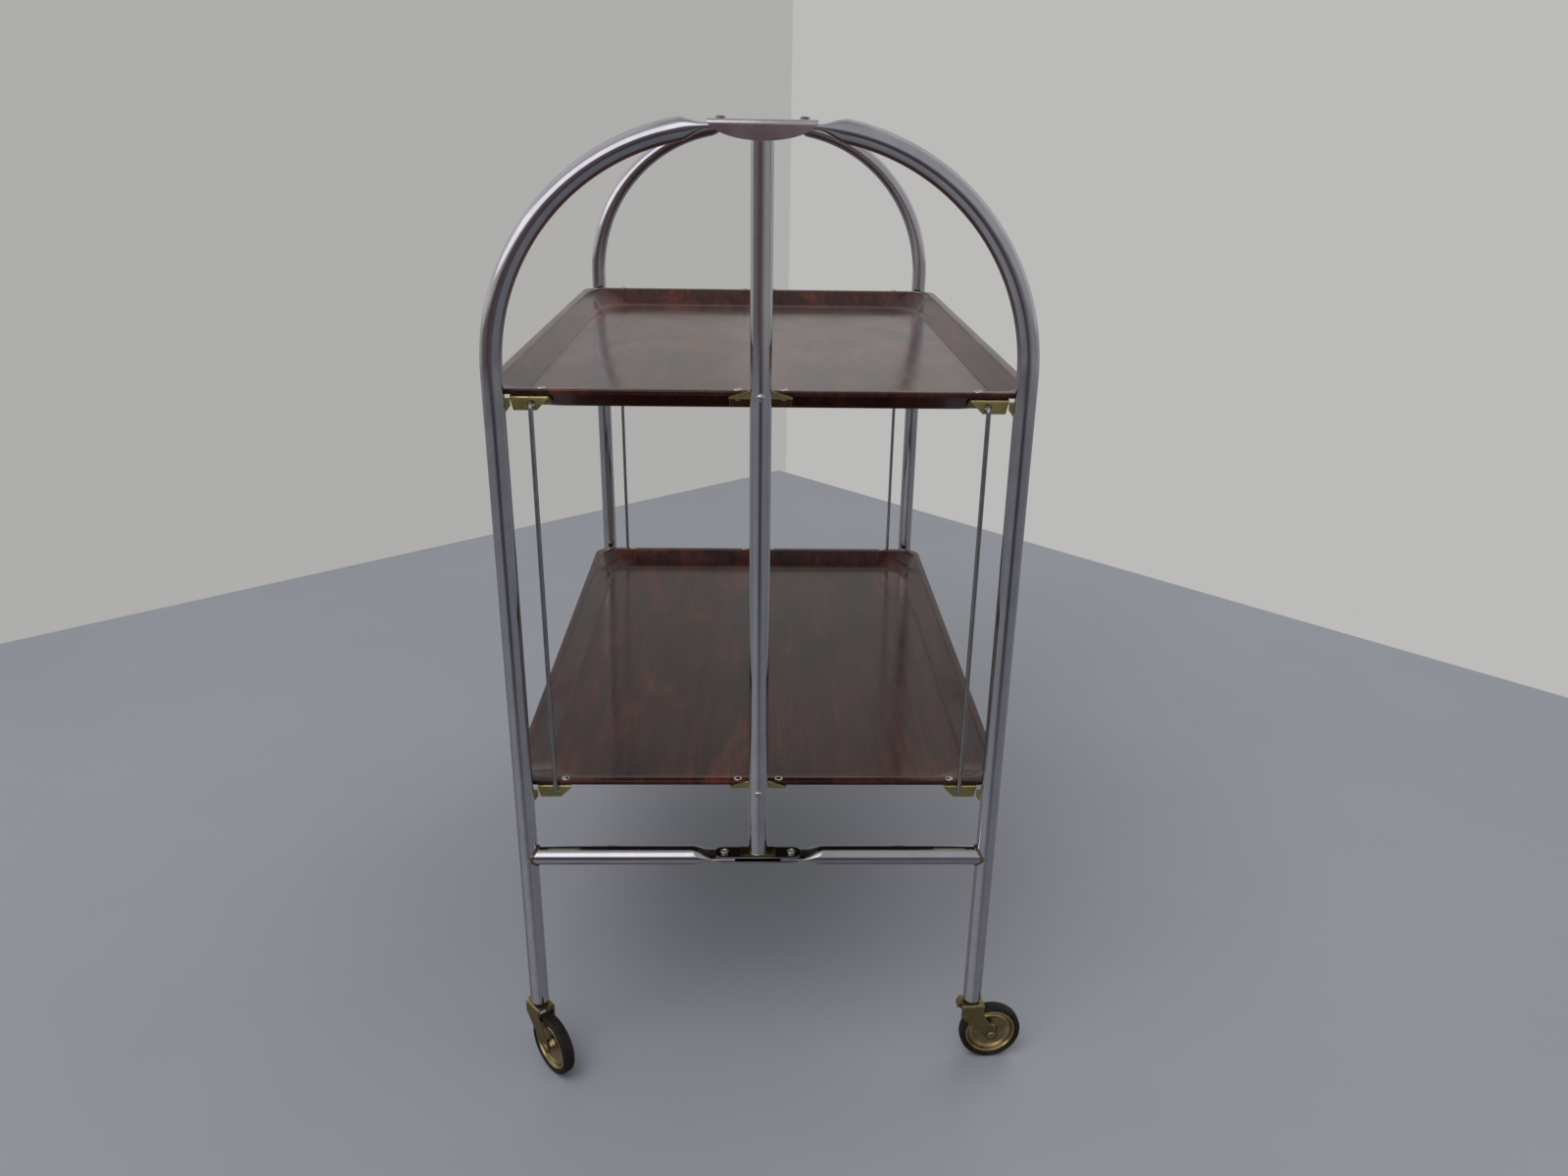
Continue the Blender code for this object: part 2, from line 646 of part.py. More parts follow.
def tray_mesh():
    """A pressed tray with a flat lip, flared walls and a flat floor, drilled for its screws."""
    rings = wall_rings(TRAY_UNDER_LIP)[::-1]
    rings.append(tray_ring(RIM_ROUND, RIM_ROUND, 0, TRAY_UNDER_LIP))
    rings.append(tray_ring(0, 0, 0, TRAY_UNDER_LIP + RIM_ROUND))
    rings.append(tray_ring(0, 0, 0, RIM_ABOVE_PIVOT - RIM_ROUND))
    rings.append(tray_ring(RIM_ROUND, RIM_ROUND, 0, RIM_ABOVE_PIVOT))
    rings += wall_rings(RIM_ABOVE_PIVOT)
    cutter = drill(SCREW_HOLE_RADIUS, LIP_DRILL)
    holes = [(cutter.copy(), matrix) for matrix in screw_places()]
    return combine(loft(rings), holes, "DIFFERENCE")


def screw_mesh():
    """An oval-head screw along Z with its head on z = 0, through the lip and a bracket flange."""
    stack = TRAY_THICKNESS + BRACKET_STANDOFF + BRACKET_SHEET
    head, tail = SCREW_HEAD_RADIUS, SCREW_TAIL_RADIUS
    profile = (
        (tail, -stack - SCREW_TAIL_HEIGHT),
        (tail, -stack + BRACKET_SHEET / 2),
        (SCREW_RADIUS, -stack + BRACKET_SHEET / 2),
        (SCREW_RADIUS, TOUCH),
        (head, TOUCH),
        (head, TOUCH + SCREW_HEAD_HEIGHT * HEAD_EDGE_SHARE),
        (head * HEAD_CROWN_SHARE, TOUCH + SCREW_HEAD_HEIGHT),
    )
    return turned(profile, SMALL_SIDES)


def flange_stations(low, high, bend_out):
    """The part of a bracket under the tray: in from the bend, then down along the end wall."""
    half = BRACKET_SHEET / 2
    level = TRAY_UNDER_LIP - BRACKET_STANDOFF - half
    # The slanted part keeps the same distance square to the wall as the level part has
    knee = WALL_KNEE - (BRACKET_STANDOFF + half) * (1 / cos(WALL_ANGLE) - 1) / WALL_SLOPE
    drop = (BRACKET_REACH - knee) * WALL_SLOPE
    return [
        (bend_out, level, low, high),
        (-knee, level, low, high),
        (-BRACKET_REACH, level - drop, low, high),
    ]


def screwed_bracket(stations, screws, cuts):
    """A bent bracket with its screws fixed in it."""
    blank = bent_sheet(stations, BRACKET_SHEET)
    blank.transform(at(0, -TRAY_HALF_LENGTH, 0))
    screw = screw_mesh()
    whole = combine(blank, [(screw.copy(), matrix) for matrix in screws], "UNION")
    return combine(whole, cuts, "DIFFERENCE")


def centre_bracket_mesh():
    """The pivot bracket behind a post: wings that slope up to it, and a flange under the tray."""
    out = CENTRE_PLATE_OUT - BRACKET_SHEET / 2
    top, half = CENTRE_TOP_HALF_WIDTH, CENTRE_HALF_WIDTH
    wing = WING_TOP_HALF_WIDTH
    stations = [(out, CENTRE_RISE, -top, top), (out, WING_RISE, -wing, wing)]
    stations += flange_stations(-half, half, out)
    screws = [lip_point(side, CENTRE_SCREW_X) for _, side in SIDES]
    return screwed_bracket(stations, screws, [(pivot_cutter(), at(0, -FRAME_Y, 0) @ ALONG_Y)])


def corner_bracket_mesh(side):
    """A tapered plate that hangs under the tray's end and takes a link rod's hook."""
    outer = CORNER_OUTER_X
    foot_outer = outer - CORNER_FOOT_INSET
    low, high = sorted((side * outer, side * (outer - CORNER_TOP_WIDTH)))
    foot_low, foot_high = sorted((side * foot_outer, side * (foot_outer - CORNER_FOOT_WIDTH)))
    out = CORNER_PLATE_OUT - TOUCH - BRACKET_SHEET / 2
    stations = [(out, -CORNER_FOOT_BELOW_PIVOT, foot_low, foot_high)]
    stations += flange_stations(low, high, out)
    hook = at(side * ROD_X, -TRAY_HALF_LENGTH - out, -ROD_BELOW_PIVOT) @ ALONG_Y
    hole = drill(ROD_HOLE_RADIUS, BRACKET_SHEET)
    return screwed_bracket(stations, [lip_point(side, CORNER_SCREW_X)], [(hole, hook)])


def rod_object(name, matrix):
    """A link rod of bent wire. Its origin is in the upper bracket's hole."""
    drop = UPPER_PIVOT_HEIGHT - LOWER_PIVOT_HEIGHT
    bend = ROD_BEND_RADIUS
    tail_end = bend + ROD_TAIL
    points = [(tail_end, 0.0)]
    for step in range(ROD_BEND_STEPS + 1):
        turn = pi / 2 * step / ROD_BEND_STEPS
        points.append((bend * (1 - sin(turn)), -bend * (1 - cos(turn))))
    for step in range(ROD_BEND_STEPS + 1):
        turn = pi / 2 * step / ROD_BEND_STEPS
        points.append((bend * (1 - cos(turn)), -drop + bend * (1 - sin(turn))))
    points.append((tail_end, -drop))
    curve = bpy.data.curves.new(name, "CURVE")
    curve.dimensions = "3D"
    curve.bevel_depth = ROD_RADIUS
    curve.bevel_resolution = ROD_SIDES // 2 - 2
    curve.use_fill_caps = True
    line = curve.splines.new("POLY")
    line.points.add(len(points) - 1)
    for target, (inward, height) in zip(line.points, points):
        target.co = (0, inward, height, 1)
    curve.materials.append(finish_of(name, WIRE))
    rod = bpy.data.objects.new(name, curve)
    bpy.context.scene.collection.objects.link(rod)
    rod.matrix_world = matrix
    return rod


def tangent_turn(point, sense):
    """The angle on a fork's ear where a line from a point touches it."""
    away = (point[0] - CASTOR_TRAIL, point[1] - WHEEL_RADIUS)
    return atan2(away[1], away[0]) + sense * acos(FORK_EAR_RADIUS / hypot(*away))


def fork_mesh():
    """A castor fork about the upright through its stem: bridge, rear lug, two arms, riveted axle."""
    half, outer = FORK_TOP_WIDTH / 2, FORK_OUTER
    lug, lug_back = FORK_LUG_HALF_WIDTH, -FORK_LUG_REACH
    bridge_outline = (
        (half, -outer),
        (half, outer),
        (-half, outer),
        (-half, lug),
        (lug_back, lug),
        (lug_back, -lug),
        (-half, -lug),
        (-half, -outer),
    )
    bridge = plate(bridge_outline, FORK_SHEET, IN_XY)
    bridge.transform(at(0, 0, FORK_PLATE_UNDER))
    top = FORK_PLATE_UNDER + FORK_SHEET / 2
    back, front = (-half, top - FORK_WAIST_BELOW_TOP), (half, top - FORK_WAIST_BELOW_TOP)
    outline = [(half, top), (-half, top), back]
    start = tangent_turn(back, 1)
    end = tangent_turn(front, -1) + 2 * pi
    for step in range(EAR_STEPS + 1):
        turn = start + (end - start) * step / EAR_STEPS
        across = CASTOR_TRAIL + FORK_EAR_RADIUS * cos(turn)
        outline.append((across, WHEEL_RADIUS + FORK_EAR_RADIUS * sin(turn)))
    outline.append(front)
    arm = plate(outline, FORK_SHEET, IN_XZ)
    lug_low = FORK_PLATE_TOP - FORK_LUG_DROP
    lug_outline = (
        (lug_back, lug_low),
        (lug_back + FORK_SHEET, lug_low),
        (lug_back + FORK_SHEET, top),
        (lug_back, top),
    )
    lug_wall = plate(lug_outline, lug * 2, IN_XZ)
    parts = [(arm.copy(), at(0, FORK_INNER, 0)), (arm.copy(), at(0, -outer, 0))]
    parts.append((lug_wall, at(0, -lug, 0)))
    parts.append((axle_mesh(), at(CASTOR_TRAIL, 0, WHEEL_RADIUS) @ ALONG_Y))
    whole = combine(bridge, parts, "UNION")
    hole = drill(STEM_HOLE_RADIUS, FORK_SHEET)
    return combine(whole, [(hole, at(0, 0, top))], "DIFFERENCE")


def stem_mesh():
    """The castor's stem: a bush in the tube's foot, a collar, a pin and a riveted head."""
    bush = BORE_RADIUS - TOUCH
    head_top = FORK_PLATE_UNDER - TOUCH
    profile = (
        (STEM_HEAD_RADIUS, head_top - STEM_HEAD_HEIGHT),
        (STEM_HEAD_RADIUS, head_top),
        (STEM_RADIUS, head_top),
        (STEM_RADIUS, FORK_PLATE_TOP + TOUCH),
        (STEM_COLLAR_RADIUS, FORK_PLATE_TOP + TOUCH),
        (STEM_COLLAR_RADIUS, LEG_FOOT - TOUCH),
        (bush, LEG_FOOT - TOUCH),
        (bush, LEG_FOOT + STEM_BUSH_LENGTH),
    )
    return turned(profile, TUBE_SIDES)


def mirrored_profile(half):
    """A closed profile from its (radius, half width) points on one side, bore first."""
    return half + [(radius, -width) for radius, width in reversed(half)]


def disc_mesh():
    """The pressed wheel disc: hub, dished web, raised ring and rim."""
    bore = AXLE_RADIUS + RUNNING
    ring_half = DISC_RING_WIDTH / 2
    half = [
        (bore, HUB_WIDTH / 2),
        (HUB_RADIUS, HUB_WIDTH / 2),
        (HUB_FOOT_RADIUS, DISC_WEB_WIDTH / 2),
        (DISC_DISH_RADIUS, DISC_WEB_WIDTH / 2),
        (DISC_RING_RADIUS, ring_half),
        (DISC_RIM_INNER_RADIUS, DISC_WIDTH / 2),
        (TYRE_INNER_RADIUS - TOUCH, DISC_WIDTH / 2),
    ]
    return turned(mirrored_profile(half), WHEEL_SIDES, ring_closed=True)


def tyre_mesh():
    shoulder = TYRE_SHOULDER
    half = [
        (TYRE_INNER_RADIUS, TYRE_WIDTH / 2),
        (WHEEL_RADIUS - shoulder, TYRE_WIDTH / 2),
        (WHEEL_RADIUS - shoulder * SHOULDER_SHARE, TYRE_WIDTH / 2 - shoulder * SHOULDER_SHARE),
        (WHEEL_RADIUS, TYRE_WIDTH / 2 - shoulder),
    ]
    return turned(mirrored_profile(half), WHEEL_SIDES, ring_closed=True)


def axle_mesh():
    """A wheel axle along Z, centred on the wheel, with a head upset on each fork arm."""
    seat = FORK_OUTER
    head, rise = AXLE_HEAD_RADIUS, AXLE_HEAD_HEIGHT
    upper = [
        (AXLE_RADIUS, seat - FORK_SHEET / 2),
        (head, seat - FORK_SHEET / 2),
        (head, seat + rise * HEAD_EDGE_SHARE),
        (head * HEAD_CROWN_SHARE, seat + rise),
    ]
    lower = [(radius, -height) for radius, height in reversed(upper)]
    return turned(lower + upper, SMALL_SIDES)


def labelled_ends():
    """Each end's name and matrix, with the name that a near left or right piece has there."""
    for end_name, end in ENDS:
        for side_name, side in SIDES:
            other = "right" if side < 0 else "left"
            label = side_name if end_name == "near" else other
            yield f"{end_name}_{label}", side, end


def build_frame():
    near = at(0, -FRAME_Y, 0)
    fixed = (
        ("post", post_mesh(), CHROME, 0),
        ("clasp", clasp_mesh(), CHROME, 0),
        ("upper_hinge_plate", hinge_plate_mesh(UPPER_PLATE_UNDER), DARK_CHROME, 0),
        ("lower_hinge_plate", hinge_plate_mesh(LOWER_PLATE_UNDER), DARK_CHROME, 0),
        ("post_foot", post_foot_mesh(), BRASS, FOOT_UNDER),
    )
    rivet = pivot_rivet_mesh()
    for end_name, end in ENDS:
        for name, mesh, finish, height in fixed:
            place(f"{end_name}_{name}", mesh, finish, end @ near @ at(0, 0, height))
        for name, height in (("upper", UPPER_PIVOT_HEIGHT), ("lower", LOWER_PIVOT_HEIGHT)):
            matrix = end @ near @ at(0, 0, height) @ ALONG_Y
            place(f"{end_name}_{name}_pivot_rivet", rivet, NICKEL, matrix)
    halves = {side: half_frame_mesh(side) for _, side in SIDES}
    clasp_pin = hinge_pin_mesh(ARCH_TOP - ARCH_TONGUE_HALF, CLASP_TOP)
    plate_pin = hinge_pin_mesh(LOWER_PLATE_UNDER, UPPER_PLATE_TOP)
    for label, side, end in labelled_ends():
        place(f"{label}_half_frame", halves[side], CHROME, end @ near)
        hinge = end @ near @ at(side * HINGE_OFFSET, 0, 0)
        place(f"{label}_clasp_screw", clasp_pin, NICKEL, hinge)
        place(f"{label}_hinge_rivet", plate_pin, NICKEL, hinge)


def build_tray(tray_name, pivot_height):
    pivot = at(0, 0, pivot_height)
    place(f"{tray_name}_tray", tray_mesh(), ROSEWOOD, pivot)
    centre = centre_bracket_mesh()
    corners = {side: corner_bracket_mesh(side) for _, side in SIDES}
    for end_name, end in ENDS:
        place(f"{tray_name}_{end_name}_pivot_bracket", centre, BRASS, pivot @ end)
    for label, side, end in labelled_ends():
        place(f"{tray_name}_{label}_bracket", corners[side], BRASS, pivot @ end)


def build_rods():
    hook_y = -TRAY_HALF_LENGTH - ROD_OUT
    for label, side, end in labelled_ends():
        hook = at(side * ROD_X, hook_y, UPPER_PIVOT_HEIGHT - ROD_BELOW_PIVOT)
        rod_object(f"{label}_link_rod", end @ hook)


def build_castors():
    fork = fork_mesh()
    disc = disc_mesh()
    tyre = tyre_mesh()
    stem = stem_mesh()
    trail_angles = {-1: NEAR_LEFT_TRAIL_ANGLE, 1: NEAR_RIGHT_TRAIL_ANGLE}
    for label, side, end in labelled_ends():
        upright = end @ at(side * LEG_X, -FRAME_Y, 0)
        swivel = upright @ Matrix.Rotation(trail_angles[side], 4, "Z")
        wheel = swivel @ at(CASTOR_TRAIL, 0, WHEEL_RADIUS) @ ALONG_Y
        place(f"{label}_castor_stem", stem, NICKEL, upright)
        place(f"{label}_fork", fork, OLIVE_STEEL, swivel)
        place(f"{label}_wheel_disc", disc, OLIVE_STEEL, wheel)
        place(f"{label}_tyre", tyre, RUBBER, wheel)


clear_scene()
build_frame()
build_tray("upper", UPPER_PIVOT_HEIGHT)
build_tray("lower", LOWER_PIVOT_HEIGHT)
build_rods()
build_castors()
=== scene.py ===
from math import acos, atan2, cos, hypot, pi, radians, sin, sqrt, tan

import bmesh
import bpy
from mathutils import Matrix, Vector


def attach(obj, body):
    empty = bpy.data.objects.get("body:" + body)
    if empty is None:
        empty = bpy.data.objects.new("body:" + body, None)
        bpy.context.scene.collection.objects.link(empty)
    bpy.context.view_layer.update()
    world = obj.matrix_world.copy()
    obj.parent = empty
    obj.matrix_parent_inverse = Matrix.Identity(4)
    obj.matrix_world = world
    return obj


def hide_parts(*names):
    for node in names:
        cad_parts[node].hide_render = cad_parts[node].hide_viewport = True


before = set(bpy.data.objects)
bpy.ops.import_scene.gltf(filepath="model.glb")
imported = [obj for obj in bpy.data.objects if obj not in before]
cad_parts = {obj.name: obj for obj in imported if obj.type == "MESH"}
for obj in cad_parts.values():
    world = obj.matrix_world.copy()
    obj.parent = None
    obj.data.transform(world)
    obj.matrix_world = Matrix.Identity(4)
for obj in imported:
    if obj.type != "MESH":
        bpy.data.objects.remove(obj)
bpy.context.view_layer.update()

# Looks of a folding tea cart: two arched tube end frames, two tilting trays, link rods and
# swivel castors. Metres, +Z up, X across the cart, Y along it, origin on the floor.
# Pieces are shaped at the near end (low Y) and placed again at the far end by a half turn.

# Frame
LEG_X = 0.185
FRAME_Y = 0.293
ARCH_TOP = 0.7575
ARCH_CENTRE_X = 0.025
ARCH_RADIUS = LEG_X - ARCH_CENTRE_X
ARCH_CENTRE_Z = ARCH_TOP - ARCH_RADIUS
TUBE_RADIUS = 0.0076
TUBE_WALL = 0.0015
BORE_RADIUS = TUBE_RADIUS - TUBE_WALL
LEG_FOOT = 0.062
BORE_SHOWN = 0.036
TUBE_END_ROUND = 0.0004
CROSSBAR_HEIGHT = 0.2065
UPPER_PIVOT = ARCH_CENTRE_Z - 0.0145
LOWER_PIVOT = CROSSBAR_HEIGHT + 0.061
TOUCH = 0.0003
HINGE_OFFSET = 0.027
ARCH_TONGUE = 0.002
BAR_TONGUE = 0.0012
TONGUE_END_X = HINGE_OFFSET - 0.0085
LEG_FLATTEN = 0.020
BAR_FLATTEN = 0.018
FLAT_POWER = 0.55
WELD_RADIUS = 0.0011
WELD_SADDLE = 0.18
WELD_STEPS = 72
WELD_SIDES = 12

# Clasp, hinge plates and post foot
CLASP_HALF = 0.0353
CLASP_PLATE = 0.0017
CLASP_UNDER = ARCH_TOP + ARCH_TONGUE + TOUCH
CLASP_TOP = CLASP_UNDER + CLASP_PLATE
CLASP_DROP = 0.0129
CLASP_CORNER = 0.004
CLASP_BEND = 0.0016
CLASP_STEPS = 26
CLASP_BEND_SHARE = 0.10
PLATE_HALF_LENGTH = 0.0355
PLATE_HALF_WIDTH = 0.0078
PLATE_THICKNESS = 0.0012
UPPER_PLATE_UNDER = CROSSBAR_HEIGHT + BAR_TONGUE + TOUCH
LOWER_PLATE_UNDER = CROSSBAR_HEIGHT - BAR_TONGUE - TOUCH - PLATE_THICKNESS
FOOT_HALF_LENGTH = 0.0143
FOOT_HALF_WIDTH = 0.006
FOOT_THICKNESS = 0.001
FOOT_CORNER = 0.0012
FOOT_UNDER = UPPER_PLATE_UNDER + PLATE_THICKNESS + TOUCH
POST_BOTTOM = FOOT_UNDER + FOOT_THICKNESS + TOUCH
POST_TOP = CLASP_UNDER - TOUCH
POST_CHAMFER = 0.0018

# Trays
TRAY_HALF_WIDTH = 0.199
TRAY_HALF_LENGTH = 0.2805
TRAY_DEPTH = 0.015
TRAY_THICKNESS = 0.004
RIM_ABOVE_PIVOT = 0.0005
RIM_ROUND = 0.0011
LIP_WIDTH = 0.006
SIDE_FLARE = 0.025
END_FLARE = 0.034
RIM_CORNER = 0.020
FLOOR_CORNER = 0.035
LIP_BEND_SHARE = 0.14
FOOT_BEND_SHARE = 0.20
RIM_STEPS = 4
CORNER_STEPS = 20
WALL_STEPS = 30

# Brackets and their screws
BRACKET_SHEET = 0.0015
BRACKET_STANDOFF = 0.0007
BRACKET_REACH = 0.023
BRACKET_BEND = 0.0016
KNEE_BEND = 0.004
CENTRE_TOP_HALF = 0.0042
CENTRE_HALF = 0.0225
CENTRE_RISE = 0.0042
CENTRE_WING = 0.0068
CENTRE_WING_RISE = 0.0010
CORNER_OUTER_X = LEG_X - TUBE_RADIUS - 0.0005
CORNER_TOP_WIDTH = 0.0270
CORNER_FOOT_WIDTH = 0.0165
CORNER_FOOT_INSET = 0.002
CORNER_FOOT_DROP = 0.0150
WALL_SLOPE = 0.6429
WALL_KNEE = 0.00777
SCREW_INSET = 0.0040
CENTRE_SCREW_X = 0.0165
CORNER_SCREW_X = CORNER_OUTER_X - 0.0224
SCREW_HEAD = 0.0032
SCREW_RISE = 0.0014
SLOT_WIDTH = 0.0007
SLOT_DEPTH = 0.0007
SLOT_LENGTH = 2.4  # times the radius of the head
SCREW_TURN = radians(35)
CLASP_SCREW_TURN = radians(25)
# Tail of a bracket screw below the stack, from its tip up: (radius, height)
TAIL_PROFILE = ((0.0010, -0.0012), (0.0017, -0.0010), (0.0021, -0.0004), (0.0021, 0.0004))

# Pivot rivets, hinge pins and catches
PIVOT_RADIUS = 0.002
PIVOT_HEAD = 0.0028
PIVOT_RISE = 0.0012
COLLAR_RADIUS = 0.0042
PIN_RADIUS = 0.0021
PIN_HEAD = 0.0034
PIN_RISE = 0.0016
CATCH_PAST_LEG = 0.0035
CATCH_PAST_TUBE = 0.0018
CATCH_BELOW_PIVOT = 0.005
CATCH_DROP = 0.0115
CATCH_TIP_INSET = 0.005

# Link rods
ROD_X = CORNER_OUTER_X - 0.0149
ROD_OUT = 0.28255
ROD_BELOW_PIVOT = 0.010
ROD_RADIUS = 0.00175
ROD_BEND = 0.0032
ROD_TAIL = 0.0045
ROD_BEND_STEPS = 10
ROD_HOLE_RADIUS = ROD_RADIUS * 1.35
ROD_HOLE_REACH = 0.006

# Castors
TRAIL = 0.018
WHEEL_RADIUS = 0.0265
TYRE_WIDTH = 0.0108
TYRE_INNER = 0.0222
TYRE_ROUND = 0.0034
# Lip at the disc, past the inner radius, and mould line, past the outer: (radius, half width)
TYRE_LIP = ((0.0, 0.0042), (0.0002, 0.0049), (0.0008, TYRE_WIDTH / 2))
MOULD_LINE = ((-0.00012, 0.0016), (-0.0001, 0.0004), (0.0, 0.00025))
HUB_WIDTH = 0.0118
AXLE_RADIUS = 0.0025
AXLE_HEAD = 0.0034
AXLE_RISE = 0.0014
# Wheel disc from its bore out: hub, dished web, raised ring, groove and rim, (radius, half width)
DISC_PROFILE = (
    (AXLE_RADIUS + TOUCH, HUB_WIDTH / 2), (0.0048, HUB_WIDTH / 2),
    (0.0055, HUB_WIDTH / 2 - 0.0006), (0.0062, 0.0029), (0.0072, 0.0018),
    (0.0086, 0.0017), (0.0118, 0.0017), (0.0138, 0.0019), (0.0150, 0.0024),
    (0.0160, 0.0033), (0.0168, 0.0037), (0.0178, 0.0034), (0.0185, 0.0025),
    (0.0191, 0.0024), (0.0197, 0.0033), (0.0203, 0.0042), (0.0210, 0.0044),
    (0.0217, 0.0041), (0.0219, 0.0034),
)
FORK_SHEET = 0.0015
FORK_INNER = TYRE_WIDTH / 2 + 0.0012
FORK_OUTER = FORK_INNER + FORK_SHEET
FORK_HALF = 0.0195 / 2
FORK_PLATE_TOP = LEG_FOOT - 0.003
FORK_WAIST = 0.0105
FORK_BEND = 0.0019
ARM_STEPS = 14
EAR_RADIUS = 0.0055
LUG_REACH = 0.0128
LUG_HALF = 0.0035
LUG_DROP = 0.0048
STEM_RADIUS = 0.004
STEM_BUSH = 0.034
STEM_COLLAR = 0.0068
STEM_HEAD = 0.0064
STEM_HEAD_RISE = 0.0035
STEM_CHAMFER = 0.0004
TRAIL_ANGLES = {"left": radians(-49), "right": radians(4)}

# Smoothness
TUBE_SIDES = 48
ARCH_STEPS = 48
FLATTEN_STEPS = 20
TURNED_SIDES = 48
WHEEL_SIDES = 96
HEAD_SIDES = 40
ROD_SIDES = 20
TAIL_SIDES = 24
HOLE_SIDES = 32
PLATE_CORNER_STEPS = 12
BEND_STEPS = 6
BEND_ROOM = 0.48
SAME_POINT = 1e-7
SHARP_ANGLE = radians(38)
EDGE_ROUND = 0.00035
WIDE_ROUND = 0.00055
ROUND_SEGMENTS = 3

HALF_TURN = Matrix.Rotation(pi, 4, "Z")
ENDS = (("near", Matrix.Identity(4)), ("far", HALF_TURN))
SIDES = (("left", -1), ("right", 1))
ALONG_Y = Matrix.Rotation(pi / 2, 4, "X")


def at(x, y, z):
    return Matrix.Translation((x, y, z))


# -------- materials


def feed(tree, made, inputs):
    """Fill inputs of a node, each from a socket or a plain value."""
    for key, value in inputs.items():
        if isinstance(value, bpy.types.NodeSocket):
            tree.links.new(value, made.inputs[key])
        else:
            made.inputs[key].default_value = value


def node(tree, kind, inputs=None, **values):
    made = tree.nodes.new(kind)
    for key, value in values.items():
        setattr(made, key, value)
    feed(tree, made, inputs or {})
    return made


def noise(tree, where, scale, detail=4.0, roughness=0.6, distortion=0.0):
    inputs = {"Vector": where, "Scale": scale, "Detail": detail}
    inputs |= {"Roughness": roughness, "Distortion": distortion}
    return node(tree, "ShaderNodeTexNoise", inputs).outputs["Fac"]


def ramp(tree, value, stops):
    made = node(tree, "ShaderNodeValToRGB", {"Fac": value})
    elements = made.color_ramp.elements
    while len(elements) < len(stops):
        elements.new(0.5)
    for element, (place, colour) in zip(elements, stops):
        element.position = place
        element.color = (*colour, 1.0)
    return made.outputs["Color"]


def spread(tree, value, low, high, out_low=0.0, out_high=1.0):
    """Map low..high to out_low..out_high, held at both ends."""
    inputs = {"Value": value, "From Min": low, "From Max": high}
    inputs |= {"To Min": out_low, "To Max": out_high}
    return node(tree, "ShaderNodeMapRange", inputs).outputs["Result"]


def mixed(tree, share, first, second, kind="MIX"):
    """Mix two colours; share, first and second are sockets or plain values."""
    first, second = ((*c, 1.0) if isinstance(c, tuple) else c for c in (first, second))
    inputs = {0: share, 6: first, 7: second}
    return node(tree, "ShaderNodeMix", inputs, data_type="RGBA", blend_type=kind).outputs[2]


def maths(tree, operation, first, second=0.0):
    return node(tree, "ShaderNodeMath", {0: first, 1: second}, operation=operation).outputs[0]


def bumped(tree, shader, height, strength, distance):
    inputs = {"Height": height, "Strength": strength, "Distance": distance}
    feed(tree, shader, {"Normal": node(tree, "ShaderNodeBump", inputs).outputs["Normal"]})


def stretched(tree, scale, offset=(0.0, 0.0, 0.0)):
    """Object coordinates, stretched along the axes with a small scale."""
    where = node(tree, "ShaderNodeTexCoord").outputs["Object"]
    inputs = {"Vector": where, "Scale": scale, "Location": offset}
    return node(tree, "ShaderNodeMapping", inputs).outputs["Vector"]


def new_material(name, metallic):
    made = bpy.data.materials.new(name)
    made.use_nodes = True
    tree = made.node_tree
    shader = tree.nodes["Principled BSDF"]
    feed(tree, shader, {"Metallic": metallic})
    return made, tree, shader


UNSTRETCHED = (1.0, 1.0, 1.0)
RUBBED_BRIGHTER = 1.35
PIT_DULLNESS = 0.35
PIT_DEPTH = 1.5


def metal(name, light, dark, rough, spots, pit=(0.10, 0.07, 0.045)):
    """Worn metal: cloudy tone, brownish pits, uneven polish and bright rubbed edges.

    light and dark are the two tones, rough the lowest and highest roughness, spots the share
    of the surface with pits and pit their colour.
    """
    made, tree, shader = new_material(name, 1.0)
    where = stretched(tree, UNSTRETCHED)
    cloud = noise(tree, where, 55.0, 5.0)
    tone = ramp(tree, cloud, ((0.32, dark), (0.68, light)))
    pit_field = noise(tree, where, 420.0, 3.0, 0.7)
    patch = noise(tree, where, 38.0, 2.0)
    pitted = spread(tree, pit_field, 0.60, 0.70)
    patchy = spread(tree, patch, 0.62 - spots, 0.74)
    pits = maths(tree, "MULTIPLY", pitted, patchy)
    worn = node(tree, "ShaderNodeNewGeometry")
    edge = spread(tree, worn.outputs["Pointiness"], 0.52, 0.60, 0.0, 0.6)
    rubbed = tuple(min(1.0, part * RUBBED_BRIGHTER) for part in light)
    colour = mixed(tree, pits, mixed(tree, edge, tone, rubbed), pit)
    polish = spread(tree, noise(tree, where, 130.0, 6.0), 0.3, 0.7, *rough)
    dullness = maths(tree, "ADD", polish, maths(tree, "MULTIPLY", pits, PIT_DULLNESS))
    feed(tree, shader, {"Base Color": colour, "Roughness": dullness})
    fine = noise(tree, where, 900.0, 3.0)
    sunk_pits = maths(tree, "MULTIPLY", pits, PIT_DEPTH)
    bumped(tree, shader, maths(tree, "SUBTRACT", fine, sunk_pits), 0.10, 0.00012)
    return made


WOOD_DARK = (0.012, 0.0042, 0.0036)
WOOD_MIDDLE = (0.037, 0.0108, 0.0080)
WOOD_RED = (0.122, 0.0290, 0.0180)
WOOD_WORN = (0.11, 0.05, 0.04)
# Large fields of the figure: stretch, then detail, roughness and distortion of the noise
WOOD_FLAME = ((15.0, 4.6, 15.0), 5.0, 0.62, 1.9)
WOOD_BLOTCH = ((7.0, 5.0, 7.0), 2.0, 0.5, 0.6)
